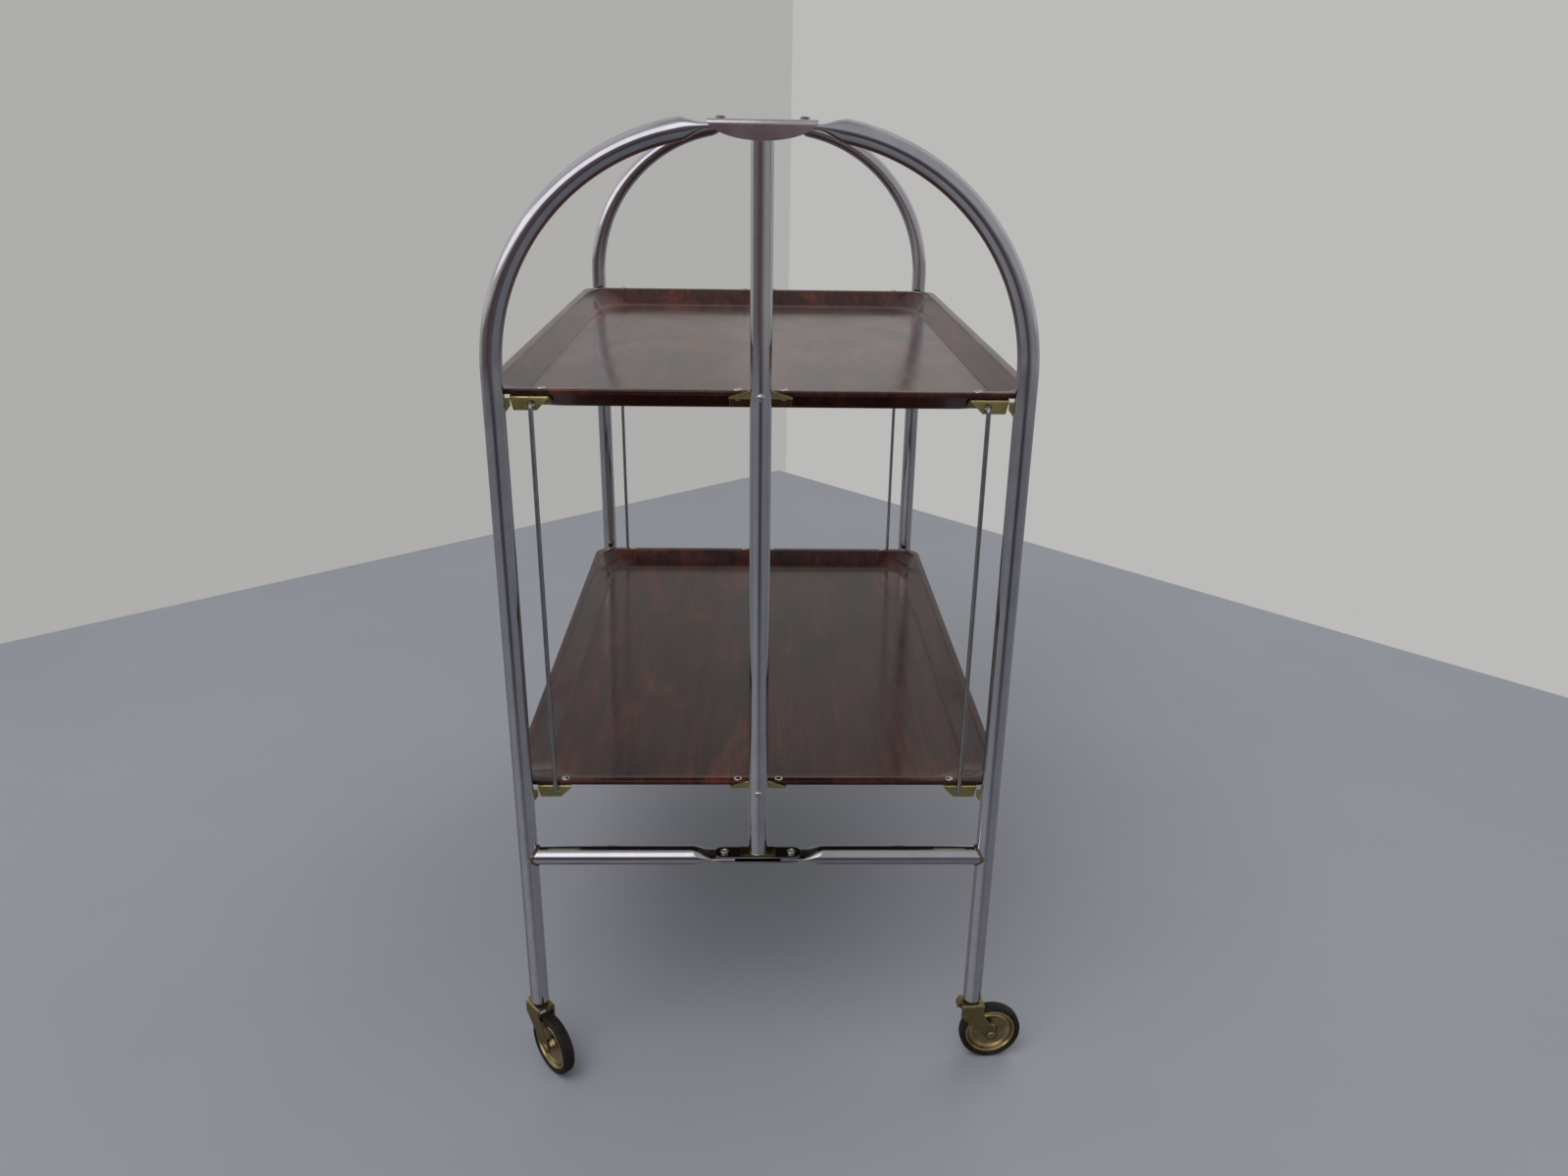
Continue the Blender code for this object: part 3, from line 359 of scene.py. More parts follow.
# Layers that darken or lighten it, waves, streaks and pores: field, tones by place, share
WOOD_LAYERS = (
    (
        ((60.0, 6.0, 60.0), 4.0, 0.6, 1.1),
        ((0.36, (0.55, 0.52, 0.52)), (0.62, (1.15, 1.10, 1.08))),
        0.75,
    ),
    (
        ((230.0, 9.0, 120.0), 5.0, 0.6, 0.5),
        ((0.36, (0.58, 0.55, 0.55)), (0.64, (1.22, 1.16, 1.14))),
        0.65,
    ),
    (
        ((700.0, 22.0, 320.0), 2.0, 0.6, 0.0),
        ((0.36, (0.55, 0.52, 0.52)), (0.52, (1.0, 1.0, 1.0))),
        0.5,
    ),
)


def rosewood(name, offset, gloss):
    """Dark rosewood laminate: red flame figure and fine streaks along Y under an uneven gloss.

    gloss is the refractive index, so how strongly reflections veil the figure.
    """
    made, tree, shader = new_material(name, 0.0)

    def field(stretch, *grain):
        return noise(tree, stretched(tree, stretch, offset), 1.0, *grain)

    figure = ((0.30, WOOD_DARK), (0.50, WOOD_MIDDLE), (0.72, WOOD_RED))
    colour = ramp(tree, field(*WOOD_FLAME), figure)
    calm = spread(tree, field(*WOOD_BLOTCH), 0.40, 0.60, 0.55, 0.0)
    colour = mixed(tree, calm, colour, WOOD_MIDDLE)
    for grain, tones, share in WOOD_LAYERS:
        colour = mixed(tree, share, colour, ramp(tree, field(*grain), tones), "MULTIPLY")
    worn = node(tree, "ShaderNodeNewGeometry")
    edge = spread(tree, worn.outputs["Pointiness"], 0.53, 0.62, 0.0, 0.35)
    colour = mixed(tree, edge, colour, WOOD_WORN)
    haze = noise(tree, stretched(tree, (9.0, 9.0, 9.0), offset), 2.0, 5.0)
    haze = spread(tree, haze, 0.3, 0.7, 0.11, 0.20)
    feed(tree, shader, {"Base Color": colour, "Roughness": haze, "IOR": gloss})
    peel = noise(tree, stretched(tree, UNSTRETCHED, offset), 90.0, 2.0)
    bumped(tree, shader, peel, 0.05, 0.0006)
    return made


RUBBER_TONES = (
    (0.36, (0.006, 0.005, 0.0045)),
    (0.60, (0.013, 0.0100, 0.0090)),
    (0.80, (0.050, 0.040, 0.033)),
)


def rubber(name):
    """Dark rubber with patches of dust and fine scuffs."""
    made, tree, shader = new_material(name, 0.0)
    where = stretched(tree, UNSTRETCHED)
    dust = noise(tree, where, 160.0, 6.0, 0.65)
    scuff = noise(tree, where, 900.0, 3.0)
    dull = spread(tree, dust, 0.3, 0.7, 0.42, 0.75)
    feed(tree, shader, {"Base Color": ramp(tree, dust, RUBBER_TONES), "Roughness": dull})
    feed(tree, shader, {"Specular IOR Level": 0.25})
    bumped(tree, shader, scuff, 0.25, 0.00015)
    return made


CHROME = metal("chrome_tube_finish", (0.62, 0.63, 0.66), (0.53, 0.54, 0.57), (0.035, 0.085), 0.05)
CHROME_SHEET = metal(
    "chrome_sheet_finish", (0.70, 0.665, 0.685), (0.52, 0.475, 0.50), (0.05, 0.14), 0.18
)
# Hinge plates: the tube chrome with a darker tone painted in, a painted reflection standing in for
# the dark surroundings the plates mirror.
CHROME_PAINTED_DARK = metal(
    "chrome_plate_painted_dark", (0.30, 0.30, 0.32), (0.16, 0.16, 0.175), (0.06, 0.18), 0.2
)
# Post foot pad: a real part, but its brass and near-black patches are painted reflection, the brass
# standing in for the bracket wings mirrored there.
FOOT_PAINTED_REFLECTION = metal(
    "post_foot_painted_reflection", (0.34, 0.29, 0.13), (0.03, 0.026, 0.018), (0.26, 0.46), 0.5,
    (0.03, 0.022, 0.015),
)
BRASS = metal(
    "brass_finish", (0.66, 0.575, 0.250), (0.33, 0.295, 0.125), (0.26, 0.46), 0.30,
    (0.07, 0.060, 0.03),
)
OLIVE = metal(
    "castor_steel_finish", (0.36, 0.305, 0.145), (0.17, 0.140, 0.065), (0.28, 0.50), 0.35,
    (0.10, 0.075, 0.045),
)
DISC = metal(
    "wheel_disc_finish", (0.53, 0.425, 0.215), (0.25, 0.195, 0.095), (0.20, 0.38), 0.25,
    (0.14, 0.10, 0.06),
)
WIRE = metal("wire_finish", (0.46, 0.46, 0.46), (0.36, 0.36, 0.36), (0.18, 0.34), 0.08)
NICKEL = metal("nickel_finish", (0.72, 0.68, 0.60), (0.50, 0.47, 0.41), (0.12, 0.30), 0.2)
DARK_SCREW = metal("dark_screw_finish", (0.30, 0.29, 0.28), (0.14, 0.135, 0.13), (0.25, 0.45), 0.3)
PIN = metal("castor_pin_finish", (0.10, 0.085, 0.065), (0.05, 0.042, 0.034), (0.45, 0.65), 0.3)
WELD = metal(
    "weld_finish", (0.30, 0.20, 0.12), (0.12, 0.075, 0.05), (0.35, 0.60), 0.4,
    (0.06, 0.035, 0.02),
)
RUBBER = rubber("tyre_finish")
WOODS = {
    "upper": rosewood("dark_wood_upper", (0.0, 0.0, 0.0), 1.475),
    "lower": rosewood("dark_wood_lower", (3.7, 1.9, 0.4), 1.44),
}


# -------- shaping


def smoothed(mesh):
    mesh.shade_smooth()
    mesh.set_sharp_from_angle(angle=SHARP_ANGLE)
    return mesh


def mesh_from(shape):
    bmesh.ops.recalc_face_normals(shape, faces=shape.faces)
    mesh = bpy.data.meshes.new("shape")
    shape.to_mesh(mesh)
    shape.free()
    return smoothed(mesh)


def loft(rings, closed=False, capped=True):
    """Skin a run of rings of equally many points."""
    shape = bmesh.new()
    rows = [[shape.verts.new(point) for point in ring] for ring in rings]
    pairs = list(zip(rows, rows[1:]))
    if closed:
        pairs.append((rows[-1], rows[0]))
    for low, high in pairs:
        for a, b, c, d in zip(low, low[1:] + low[:1], high[1:] + high[:1], high):
            shape.faces.new((a, b, c, d))
    if capped and not closed:
        shape.faces.new(rows[0][::-1])
        shape.faces.new(rows[-1])
    return mesh_from(shape)


def circle(radius, height, sides):
    turns = [2 * pi * step / sides for step in range(sides)]
    return [Vector((radius * cos(turn), radius * sin(turn), height)) for turn in turns]


def turned(profile, sides=TURNED_SIDES, closed=False):
    """A shape turned about Z from (radius, height) points."""
    return loft([circle(radius, height, sides) for radius, height in profile], closed)


def arc(centre, radius, start, end, steps=BEND_STEPS):
    turns = [start + (end - start) * step / steps for step in range(steps + 1)]
    return [(centre[0] + radius * cos(turn), centre[1] + radius * sin(turn)) for turn in turns]


def dome(radius, base, rise, steps=8, middle=0.02):
    """Profile points of a domed head from its rim to its middle."""
    points = [(radius * 0.96, base), (radius, base + rise * 0.12)]
    for step in range(1, steps + 1):
        turn = pi / 2 * step / steps
        height = base + rise * (0.12 + 0.88 * sin(turn))
        points.append((max(radius * cos(turn), radius * middle), height))
    return points


def joined(meshes):
    """Put several (mesh, matrix) parts in one mesh."""
    shape = bmesh.new()
    for mesh, matrix in meshes:
        part = mesh.copy()
        part.transform(matrix)
        shape.from_mesh(part)
        bpy.data.meshes.remove(part)
    result = bpy.data.meshes.new("shape")
    shape.to_mesh(result)
    shape.free()
    return smoothed(result)


def cut(mesh, tool_mesh, matrix):
    """Cut one tool out of a mesh."""
    base = bpy.data.objects.new("base", mesh)
    tool = bpy.data.objects.new("tool", tool_mesh)
    for item in (base, tool):
        bpy.context.scene.collection.objects.link(item)
    tool.matrix_world = matrix
    step = base.modifiers.new("step", "BOOLEAN")
    step.operation = "DIFFERENCE"
    step.solver = "EXACT"
    step.object = tool
    bpy.context.view_layer.update()
    graph = bpy.context.evaluated_depsgraph_get()
    done = bpy.data.meshes.new_from_object(base.evaluated_get(graph))
    for item in (base, tool):
        bpy.data.objects.remove(item, do_unlink=True)
    return smoothed(done)


def block(size_x, size_y, size_z):
    shape = bmesh.new()
    bmesh.ops.create_cube(shape, size=1.0, matrix=Matrix.Diagonal((size_x, size_y, size_z, 1.0)))
    return mesh_from(shape)


def piece(name, mesh, finish, matrix, body, nodes, rounding=0.0):
    """Put a shaped mesh in the scene as one named piece that rides on a body."""
    made = bpy.data.objects.new(name, mesh.copy())
    made.data.name = name
    made.data.materials.clear()
    made.data.materials.append(finish)
    bpy.context.scene.collection.objects.link(made)
    made.matrix_world = matrix
    if rounding:
        edge = made.modifiers.new("edges", "BEVEL")
        edge.width = rounding
        edge.segments = ROUND_SEGMENTS
        edge.limit_method = "ANGLE"
        edge.angle_limit = SHARP_ANGLE
        edge.harden_normals = True
    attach(made, body)
    if nodes:
        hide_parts(*nodes)


# -------- tubes


def squashed_ring(centre, along, thickness, width, squash):
    """A tube section: round at squash 0, a flat-sided oval at squash 1."""
    inward = Vector((-along.z, 0.0, along.x))
    power = 1.0 - squash * (1.0 - FLAT_POWER)
    ring = []
    for step in range(TUBE_SIDES):
        turn = 2 * pi * step / TUBE_SIDES
        across = abs(cos(turn)) ** power * (1 if cos(turn) >= 0 else -1)
        sideways = abs(sin(turn)) ** power * (1 if sin(turn) >= 0 else -1)
        ring.append(centre + inward * thickness * across + Vector((0, 1, 0)) * width * sideways)
    return ring


def eased(share):
    return share * share * (3 - 2 * share)


def flat_half(share, tongue):
    return TUBE_RADIUS + (tongue - TUBE_RADIUS) * eased(share)


def leg_mesh(side):
    """A leg with an open foot that bends over into half of the arch and ends in a flat tongue."""
    up = Vector((0, 0, 1))
    rings = []
    foot = (
        (BORE_RADIUS, LEG_FOOT + BORE_SHOWN),
        (BORE_RADIUS, LEG_FOOT + TUBE_END_ROUND),
        (BORE_RADIUS + TUBE_END_ROUND, LEG_FOOT),
        (TUBE_RADIUS - TUBE_END_ROUND, LEG_FOOT),
        (TUBE_RADIUS, LEG_FOOT + TUBE_END_ROUND),
    )
    for radius, height in foot:
        rings.append(squashed_ring(Vector((side * LEG_X, 0, height)), up, radius, radius, 0))
    flat_until = acos((CLASP_HALF - ARCH_CENTRE_X) / ARCH_RADIUS)
    flat_from = flat_until - LEG_FLATTEN / ARCH_RADIUS
    turns = [flat_from * step / ARCH_STEPS for step in range(ARCH_STEPS)]
    fall = flat_until - flat_from
    turns += [flat_from + fall * step / FLATTEN_STEPS for step in range(FLATTEN_STEPS + 1)]
    turns.append(pi / 2)
    for turn in turns:
        out = ARCH_CENTRE_X + ARCH_RADIUS * cos(turn)
        centre = Vector((side * out, 0, ARCH_CENTRE_Z + ARCH_RADIUS * sin(turn)))
        along = Vector((-side * sin(turn), 0, cos(turn)))
        share = min(1.0, max(0.0, (turn - flat_from) / fall))
        thickness = flat_half(share, ARCH_TONGUE)
        rings.append(squashed_ring(centre, along, thickness, TUBE_RADIUS, share))
    end = Vector((side * TONGUE_END_X, 0, ARCH_TOP))
    rings.append(squashed_ring(end, Vector((-side, 0, 0)), ARCH_TONGUE, TUBE_RADIUS, 1))
    return loft(rings)


def crossbar_mesh(side):
    """A low cross bar from the leg to a flat tongue."""
    along = Vector((-side, 0, 0))
    start = Vector((side * LEG_X, 0, CROSSBAR_HEIGHT))
    rings = [squashed_ring(start, along, TUBE_RADIUS, TUBE_RADIUS, 0)]
    flat_x = PLATE_HALF_LENGTH + BAR_FLATTEN
    for step in range(FLATTEN_STEPS + 1):
        share = step / FLATTEN_STEPS
        centre = Vector((side * (flat_x - BAR_FLATTEN * share), 0, CROSSBAR_HEIGHT))
        rings.append(squashed_ring(centre, along, flat_half(share, BAR_TONGUE), TUBE_RADIUS, share))
    end = Vector((side * TONGUE_END_X, 0, CROSSBAR_HEIGHT))
    rings.append(squashed_ring(end, along, BAR_TONGUE, TUBE_RADIUS, 1))
    return loft(rings)


def weld_mesh(side):
    """A lumpy bead where the cross bar meets the leg."""
    rings = []
    for step in range(WELD_STEPS):
        turn = 2 * pi * step / WELD_STEPS
        out = TUBE_RADIUS * sqrt(cos(turn) ** 2 + WELD_SADDLE)
        centre = Vector((-side * out, TUBE_RADIUS * sin(turn), TUBE_RADIUS * cos(turn)))
        outward = Vector((0, sin(turn), cos(turn)))
        radius = WELD_RADIUS * (1.0 + 0.16 * sin(turn * 19) + 0.10 * sin(turn * 7 + 1))
        ring = []
        for corner in range(WELD_SIDES):
            around = 2 * pi * corner / WELD_SIDES
            inward = Vector((-side, 0, 0)) * radius * sin(around)
            ring.append(centre + outward * radius * cos(around) * 0.8 + inward)
        rings.append(ring)
    mesh = loft(rings, closed=True)
    mesh.transform(at(side * LEG_X, 0, CROSSBAR_HEIGHT))
    return mesh


def post_mesh():
    """The centre tube, with a rounded shoulder at its foot."""
    profile = [(BORE_RADIUS, POST_BOTTOM), (TUBE_RADIUS - TUBE_WALL / 2, POST_BOTTOM)]
    shoulder = (TUBE_RADIUS - POST_CHAMFER, POST_BOTTOM + POST_CHAMFER)
    profile += arc(shoulder, POST_CHAMFER, radians(-60), 0)
    profile += [(TUBE_RADIUS, POST_TOP), (BORE_RADIUS, POST_TOP)]
    return turned(profile, TUBE_SIDES, closed=True)


# -------- sheet pieces


def rounded(stations, radii):
    """Round the corners of a bent strip. radii gives a bend radius for each inner station."""
    made = [stations[0]]
    for index in range(1, len(stations) - 1):
        radius = radii.get(index, 0)
        before, here, after = (Vector(stations[i][:2]) for i in (index - 1, index, index + 1))
        arriving = (here - before).normalized()
        leaving = (after - here).normalized()
        bend = arriving.angle(leaving, 0.0)
        if radius == 0 or bend < radians(1):
            made.append(stations[index])
            continue
        room = min((here - before).length, (after - here).length) * BEND_ROOM
        reach = min(radius * tan(bend / 2), room)
        first, last = here - arriving * reach, here + leaving * reach
        for step in range(BEND_STEPS + 1):
            share = step / BEND_STEPS
            point = first.lerp(here, share).lerp(here.lerp(last, share), share)
            made.append((point.x, point.y, stations[index][2], stations[index][3]))
    made.append(stations[-1])
    return made


def bent_sheet(stations, thickness):
    """A bent strip of sheet from (out, height, low x, high x) stations on its middle surface."""
    points = [Vector((out, height)) for out, height, _, _ in stations]
    rings = []
    for index, (_, _, low, high) in enumerate(stations):
        before = points[max(index - 1, 0)]
        after = points[min(index + 1, len(points) - 1)]
        here = points[index]
        arriving = (here - before).normalized() if index else (after - here).normalized()
        leaving = (after - here).normalized() if index < len(points) - 1 else arriving
        mitre = (arriving + leaving).normalized()
        half = thickness / 2 / max(mitre.dot(arriving), 0.5)
        normal = Vector((-mitre.y, mitre.x)) * half
        front = here + normal
        back = here - normal
        ring = [(low, front), (high, front), (high, back), (low, back)]
        rings.append([Vector((x, -side.x, side.y)) for x, side in ring])
    return loft(rings)


def clasp_mesh():
    """A level plate with rounded back corners, bent down in front into a half-round flange."""
    reach = CLASP_HALF
    level = CLASP_TOP - CLASP_PLATE / 2
    out = TUBE_RADIUS + TOUCH * 1.5 + CLASP_PLATE / 2
    back = -TUBE_RADIUS
    stations = []
    for step in range(BEND_STEPS + 1):
        turn = pi / 2 * step / BEND_STEPS
        half = reach - CLASP_CORNER * (1 - sin(turn))
        stations.append((back + CLASP_CORNER * (1 - cos(turn)), level, -half, half))
    stations.append((out - CLASP_BEND, level, -reach, reach))
    for step in range(1, BEND_STEPS + 1):
        turn = pi / 2 * step / BEND_STEPS
        drop = CLASP_BEND * (1 - cos(turn))
        half = reach * cos(pi / 2 * min(1.0, drop / CLASP_DROP) * 0.6)
        stations.append((out - CLASP_BEND * (1 - sin(turn)), level - drop, -half, half))
    for step in range(CLASP_STEPS):
        share = (step + 1) / CLASP_STEPS
        turn = pi / 2 * (CLASP_BEND_SHARE + (1 - CLASP_BEND_SHARE) * share)
        half = max(reach * cos(turn), reach * 0.01)
        height = CLASP_TOP - CLASP_DROP * sin(turn)
        if height < level - CLASP_BEND - TOUCH:
            stations.append((out, height, -half, half))
    return bent_sheet(stations, CLASP_PLATE)


def rounded_rectangle(half_x, half_y, radius, height, steps=CORNER_STEPS):
    ring = []
    for quarter, (side_x, side_y) in enumerate(((1, 1), (-1, 1), (-1, -1), (1, -1))):
        for step in range(steps + 1):
            turn = pi / 2 * (quarter + step / steps)
            x = side_x * (half_x - radius) + radius * cos(turn)
            y = side_y * (half_y - radius) + radius * sin(turn)
            ring.append(Vector((x, y, height)))
    return ring


def plate_mesh(half_length, half_width, thickness, corner):
    """A flat plate with rounded corners; corner equal to half_width makes a stadium."""
    ring = rounded_rectangle(half_length, half_width, corner, 0.0, PLATE_CORNER_STEPS)
    low = [p for p, q in zip(ring, ring[-1:] + ring[:-1]) if (p - q).length > SAME_POINT]
    return loft([low, [point + Vector((0, 0, thickness)) for point in low]])


def catch_mesh(side):
    """A small flat hook behind the leg, with one slanted corner."""
    inner = LEG_X - TUBE_RADIUS - CATCH_PAST_TUBE
    outer = LEG_X + CATCH_PAST_LEG
    outline = (
        (side * outer, 0),
        (side * inner, 0),
        (side * inner, -CATCH_DROP / 2),
        (side * (LEG_X - CATCH_TIP_INSET), -CATCH_DROP),
        (side * outer, -CATCH_DROP),
    )
    return loft([[Vector((x, y, z)) for x, z in outline] for y in (0.0, BRACKET_SHEET)])


def flange_stations(low, high, bend_out):
    """Stations under the lip and down the tray's wall, from the front bend on."""
    half = BRACKET_SHEET / 2
    level = RIM_ABOVE_PIVOT - TRAY_THICKNESS - BRACKET_STANDOFF - half
    angle = atan2(WALL_SLOPE, 1)
    knee = WALL_KNEE - (BRACKET_STANDOFF + half) * (1 / cos(angle) - 1) / WALL_SLOPE
    end = level - (BRACKET_REACH - knee) * WALL_SLOPE
    path = ((bend_out, level), (-knee, level), (-BRACKET_REACH, end))
    return [(out, height, low, high) for out, height in path]


def centre_bracket_mesh():
    out = TOUCH + BRACKET_SHEET / 2
    stations = [(out, CENTRE_RISE, -CENTRE_TOP_HALF, CENTRE_TOP_HALF)]
    stations.append((out, CENTRE_WING_RISE, -CENTRE_WING, CENTRE_WING))
    stations += flange_stations(-CENTRE_HALF, CENTRE_HALF, out)
    mesh = bent_sheet(rounded(stations, {2: BRACKET_BEND, 3: KNEE_BEND}), BRACKET_SHEET)
    mesh.transform(at(0, -TRAY_HALF_LENGTH, 0))
    return mesh


def corner_bracket_mesh(side):
    outer = CORNER_OUTER_X
    foot_outer = outer - CORNER_FOOT_INSET
    low, high = sorted((side * outer, side * (outer - CORNER_TOP_WIDTH)))
    foot_low, foot_high = sorted((side * foot_outer, side * (foot_outer - CORNER_FOOT_WIDTH)))
    out = ROD_OUT - TRAY_HALF_LENGTH - ROD_BEND - TOUCH - BRACKET_SHEET / 2
    stations = [(out, -CORNER_FOOT_DROP, foot_low, foot_high)]
    stations += flange_stations(low, high, out)
    mesh = bent_sheet(rounded(stations, {1: BRACKET_BEND, 2: KNEE_BEND}), BRACKET_SHEET)
    mesh.transform(at(0, -TRAY_HALF_LENGTH, 0))
    hole = turned([(ROD_HOLE_RADIUS, end * ROD_HOLE_REACH) for end in (-1, 1)], HOLE_SIDES)
    return cut(mesh, hole, at(side * ROD_X, -TRAY_HALF_LENGTH - out, -ROD_BELOW_PIVOT) @ ALONG_Y)


# -------- heads


def slotted(head, radius, top, turn):
    """Cut a driver slot across a head whose middle is at height top."""
    slot = block(radius * SLOT_LENGTH, SLOT_WIDTH, SLOT_DEPTH * 2)
    return cut(head, slot, at(0, 0, top) @ Matrix.Rotation(turn, 4, "Z"))


def screw_mesh():
    """An oval-head slotted screw with its head on z = 0."""
    profile = [(SCREW_HEAD * 0.5, -0.0004)] + dome(SCREW_HEAD, 0.0, SCREW_RISE)
    return slotted(turned(profile, HEAD_SIDES), SCREW_HEAD, SCREW_RISE, SCREW_TURN)


def screw_tail_mesh():
    stack = TRAY_THICKNESS + BRACKET_STANDOFF + BRACKET_SHEET
    return turned([(radius, height - stack) for radius, height in TAIL_PROFILE], TAIL_SIDES)


def lip_point(side, x):
    return at(side * x, SCREW_INSET - TRAY_HALF_LENGTH, RIM_ABOVE_PIVOT)


def eyelet(low, high):
    """A rolled-over rivet: a bright ring round a sunk middle at both ends, along Z."""
    head, rise = PIN_HEAD, PIN_RISE
    ring = [(PIN_RADIUS * 0.35, -rise * 0.15), (PIN_RADIUS * 0.62, rise * 0.05)]
    ring += arc((head * 0.74, rise * 0.45), head * 0.26, radians(165), radians(-10), 10)
    ring += [(head * 0.98, 0.0)]
    top = [(radius, high + TOUCH + height) for radius, height in ring][::-1]
    bottom = [(radius, low - TOUCH - height) for radius, height in ring]
    shank = [(PIN_RADIUS, low - TOUCH), (PIN_RADIUS, high + TOUCH)]
    return turned(bottom + shank + top, HEAD_SIDES)


def clasp_screw_mesh(low, high):
    """A screw through the clasp: a slotted domed head above and a riveted one below."""
    top = dome(PIN_HEAD, high + TOUCH, PIN_RISE)
    bottom = [(radius, low - TOUCH - (height - high - TOUCH)) for radius, height in top][::-1]
    shank = [(PIN_RADIUS, low - TOUCH), (PIN_RADIUS, high + TOUCH)]
    head = turned(bottom + shank + top, HEAD_SIDES)
    return slotted(head, PIN_HEAD, high + TOUCH + PIN_RISE, CLASP_SCREW_TURN)


def pivot_rivet_mesh():
    """Domed rivet along Z through the post, with its collar against the bracket."""
    back = -(FRAME_Y - TRAY_HALF_LENGTH) + TOUCH
    seat = TUBE_RADIUS + TOUCH
    profile = [
        (PIVOT_RADIUS, back),
        (PIVOT_RADIUS, back + BRACKET_SHEET + TOUCH),
        (COLLAR_RADIUS, back + BRACKET_SHEET + TOUCH),
        (COLLAR_RADIUS, -seat),
        (PIVOT_RADIUS, -seat),
        (PIVOT_RADIUS, seat - TOUCH * 2),
    ]
    return turned(profile + dome(PIVOT_HEAD, seat - TOUCH, PIVOT_RISE + TOUCH), HEAD_SIDES)


# -------- trays


def tray_ring(side_inset, end_inset, share, height):
    radius = RIM_CORNER + (FLOOR_CORNER - RIM_CORNER) * share
    half_x, half_y = TRAY_HALF_WIDTH - side_inset, TRAY_HALF_LENGTH - end_inset
    return rounded_rectangle(half_x, half_y, radius, height)


def wall_fall(run):
    """Share of the wall's fall at a share of its run: parabola, straight slope, parabola."""
    slope = 1 / (1 - LIP_BEND_SHARE / 2 - FOOT_BEND_SHARE / 2)
    if run < LIP_BEND_SHARE:
        return slope * run * run / (2 * LIP_BEND_SHARE)
    if run > 1 - FOOT_BEND_SHARE:
        return 1 - slope * (1 - run) ** 2 / (2 * FOOT_BEND_SHARE)
    return slope * (run - LIP_BEND_SHARE / 2)


def wall_rings(height):
    rings = []
    for step in range(WALL_STEPS + 1):
        run = step / WALL_STEPS
        side_inset = LIP_WIDTH + (SIDE_FLARE - LIP_WIDTH) * run
        end_inset = LIP_WIDTH + (END_FLARE - LIP_WIDTH) * run
        rings.append(tray_ring(side_inset, end_inset, run, height - TRAY_DEPTH * wall_fall(run)))
    return rings


def tray_mesh():
    """One sheet: under side, rounded rim, upper side. Its heights are from the pivot."""
    under = RIM_ABOVE_PIVOT - TRAY_THICKNESS
    rings = wall_rings(under)[::-1]
    for centre, start in ((under + RIM_ROUND, -pi / 2), (RIM_ABOVE_PIVOT - RIM_ROUND, 0.0)):
        for step in range(RIM_STEPS + 1):
            turn = start + pi / 2 * step / RIM_STEPS
            inset = RIM_ROUND * (1 - cos(turn))
            rings.append(tray_ring(inset, inset, 0, centre + RIM_ROUND * sin(turn)))
    rings += wall_rings(RIM_ABOVE_PIVOT)
    return loft(rings)


# -------- rods and castors


def rod_mesh():
    """A hooked wire whose upper hook starts at the origin; the hooks point to +Y."""
    drop = UPPER_PIVOT - LOWER_PIVOT
    bend = ROD_BEND
    tail = bend + ROD_TAIL
    path = [(tail, 0.0)]
    path += arc((bend, -bend), bend, pi / 2, pi, ROD_BEND_STEPS)
    path += arc((bend, bend - drop), bend, pi, pi * 3 / 2, ROD_BEND_STEPS)
    path.append((tail, -drop))
    rings = []
    for index, (inward, height) in enumerate(path):
        before = Vector(path[max(index - 1, 0)])
        after = Vector(path[min(index + 1, len(path) - 1)])
        along = (after - before).normalized()
        across = Vector((0, -along.y, along.x))
        centre = Vector((0, inward, height))
        section = circle(ROD_RADIUS, 0.0, ROD_SIDES)
        rings.append([centre + Vector((1, 0, 0)) * point.x + across * point.y for point in section])
    return loft(rings)


def tangent_turn(point, sense):
    """Angle on the fork's round ear at which a straight edge from point touches it."""
    away = (point[0] - TRAIL, point[1] - WHEEL_RADIUS)
    return atan2(away[1], away[0]) + sense * acos(EAR_RADIUS / hypot(*away))


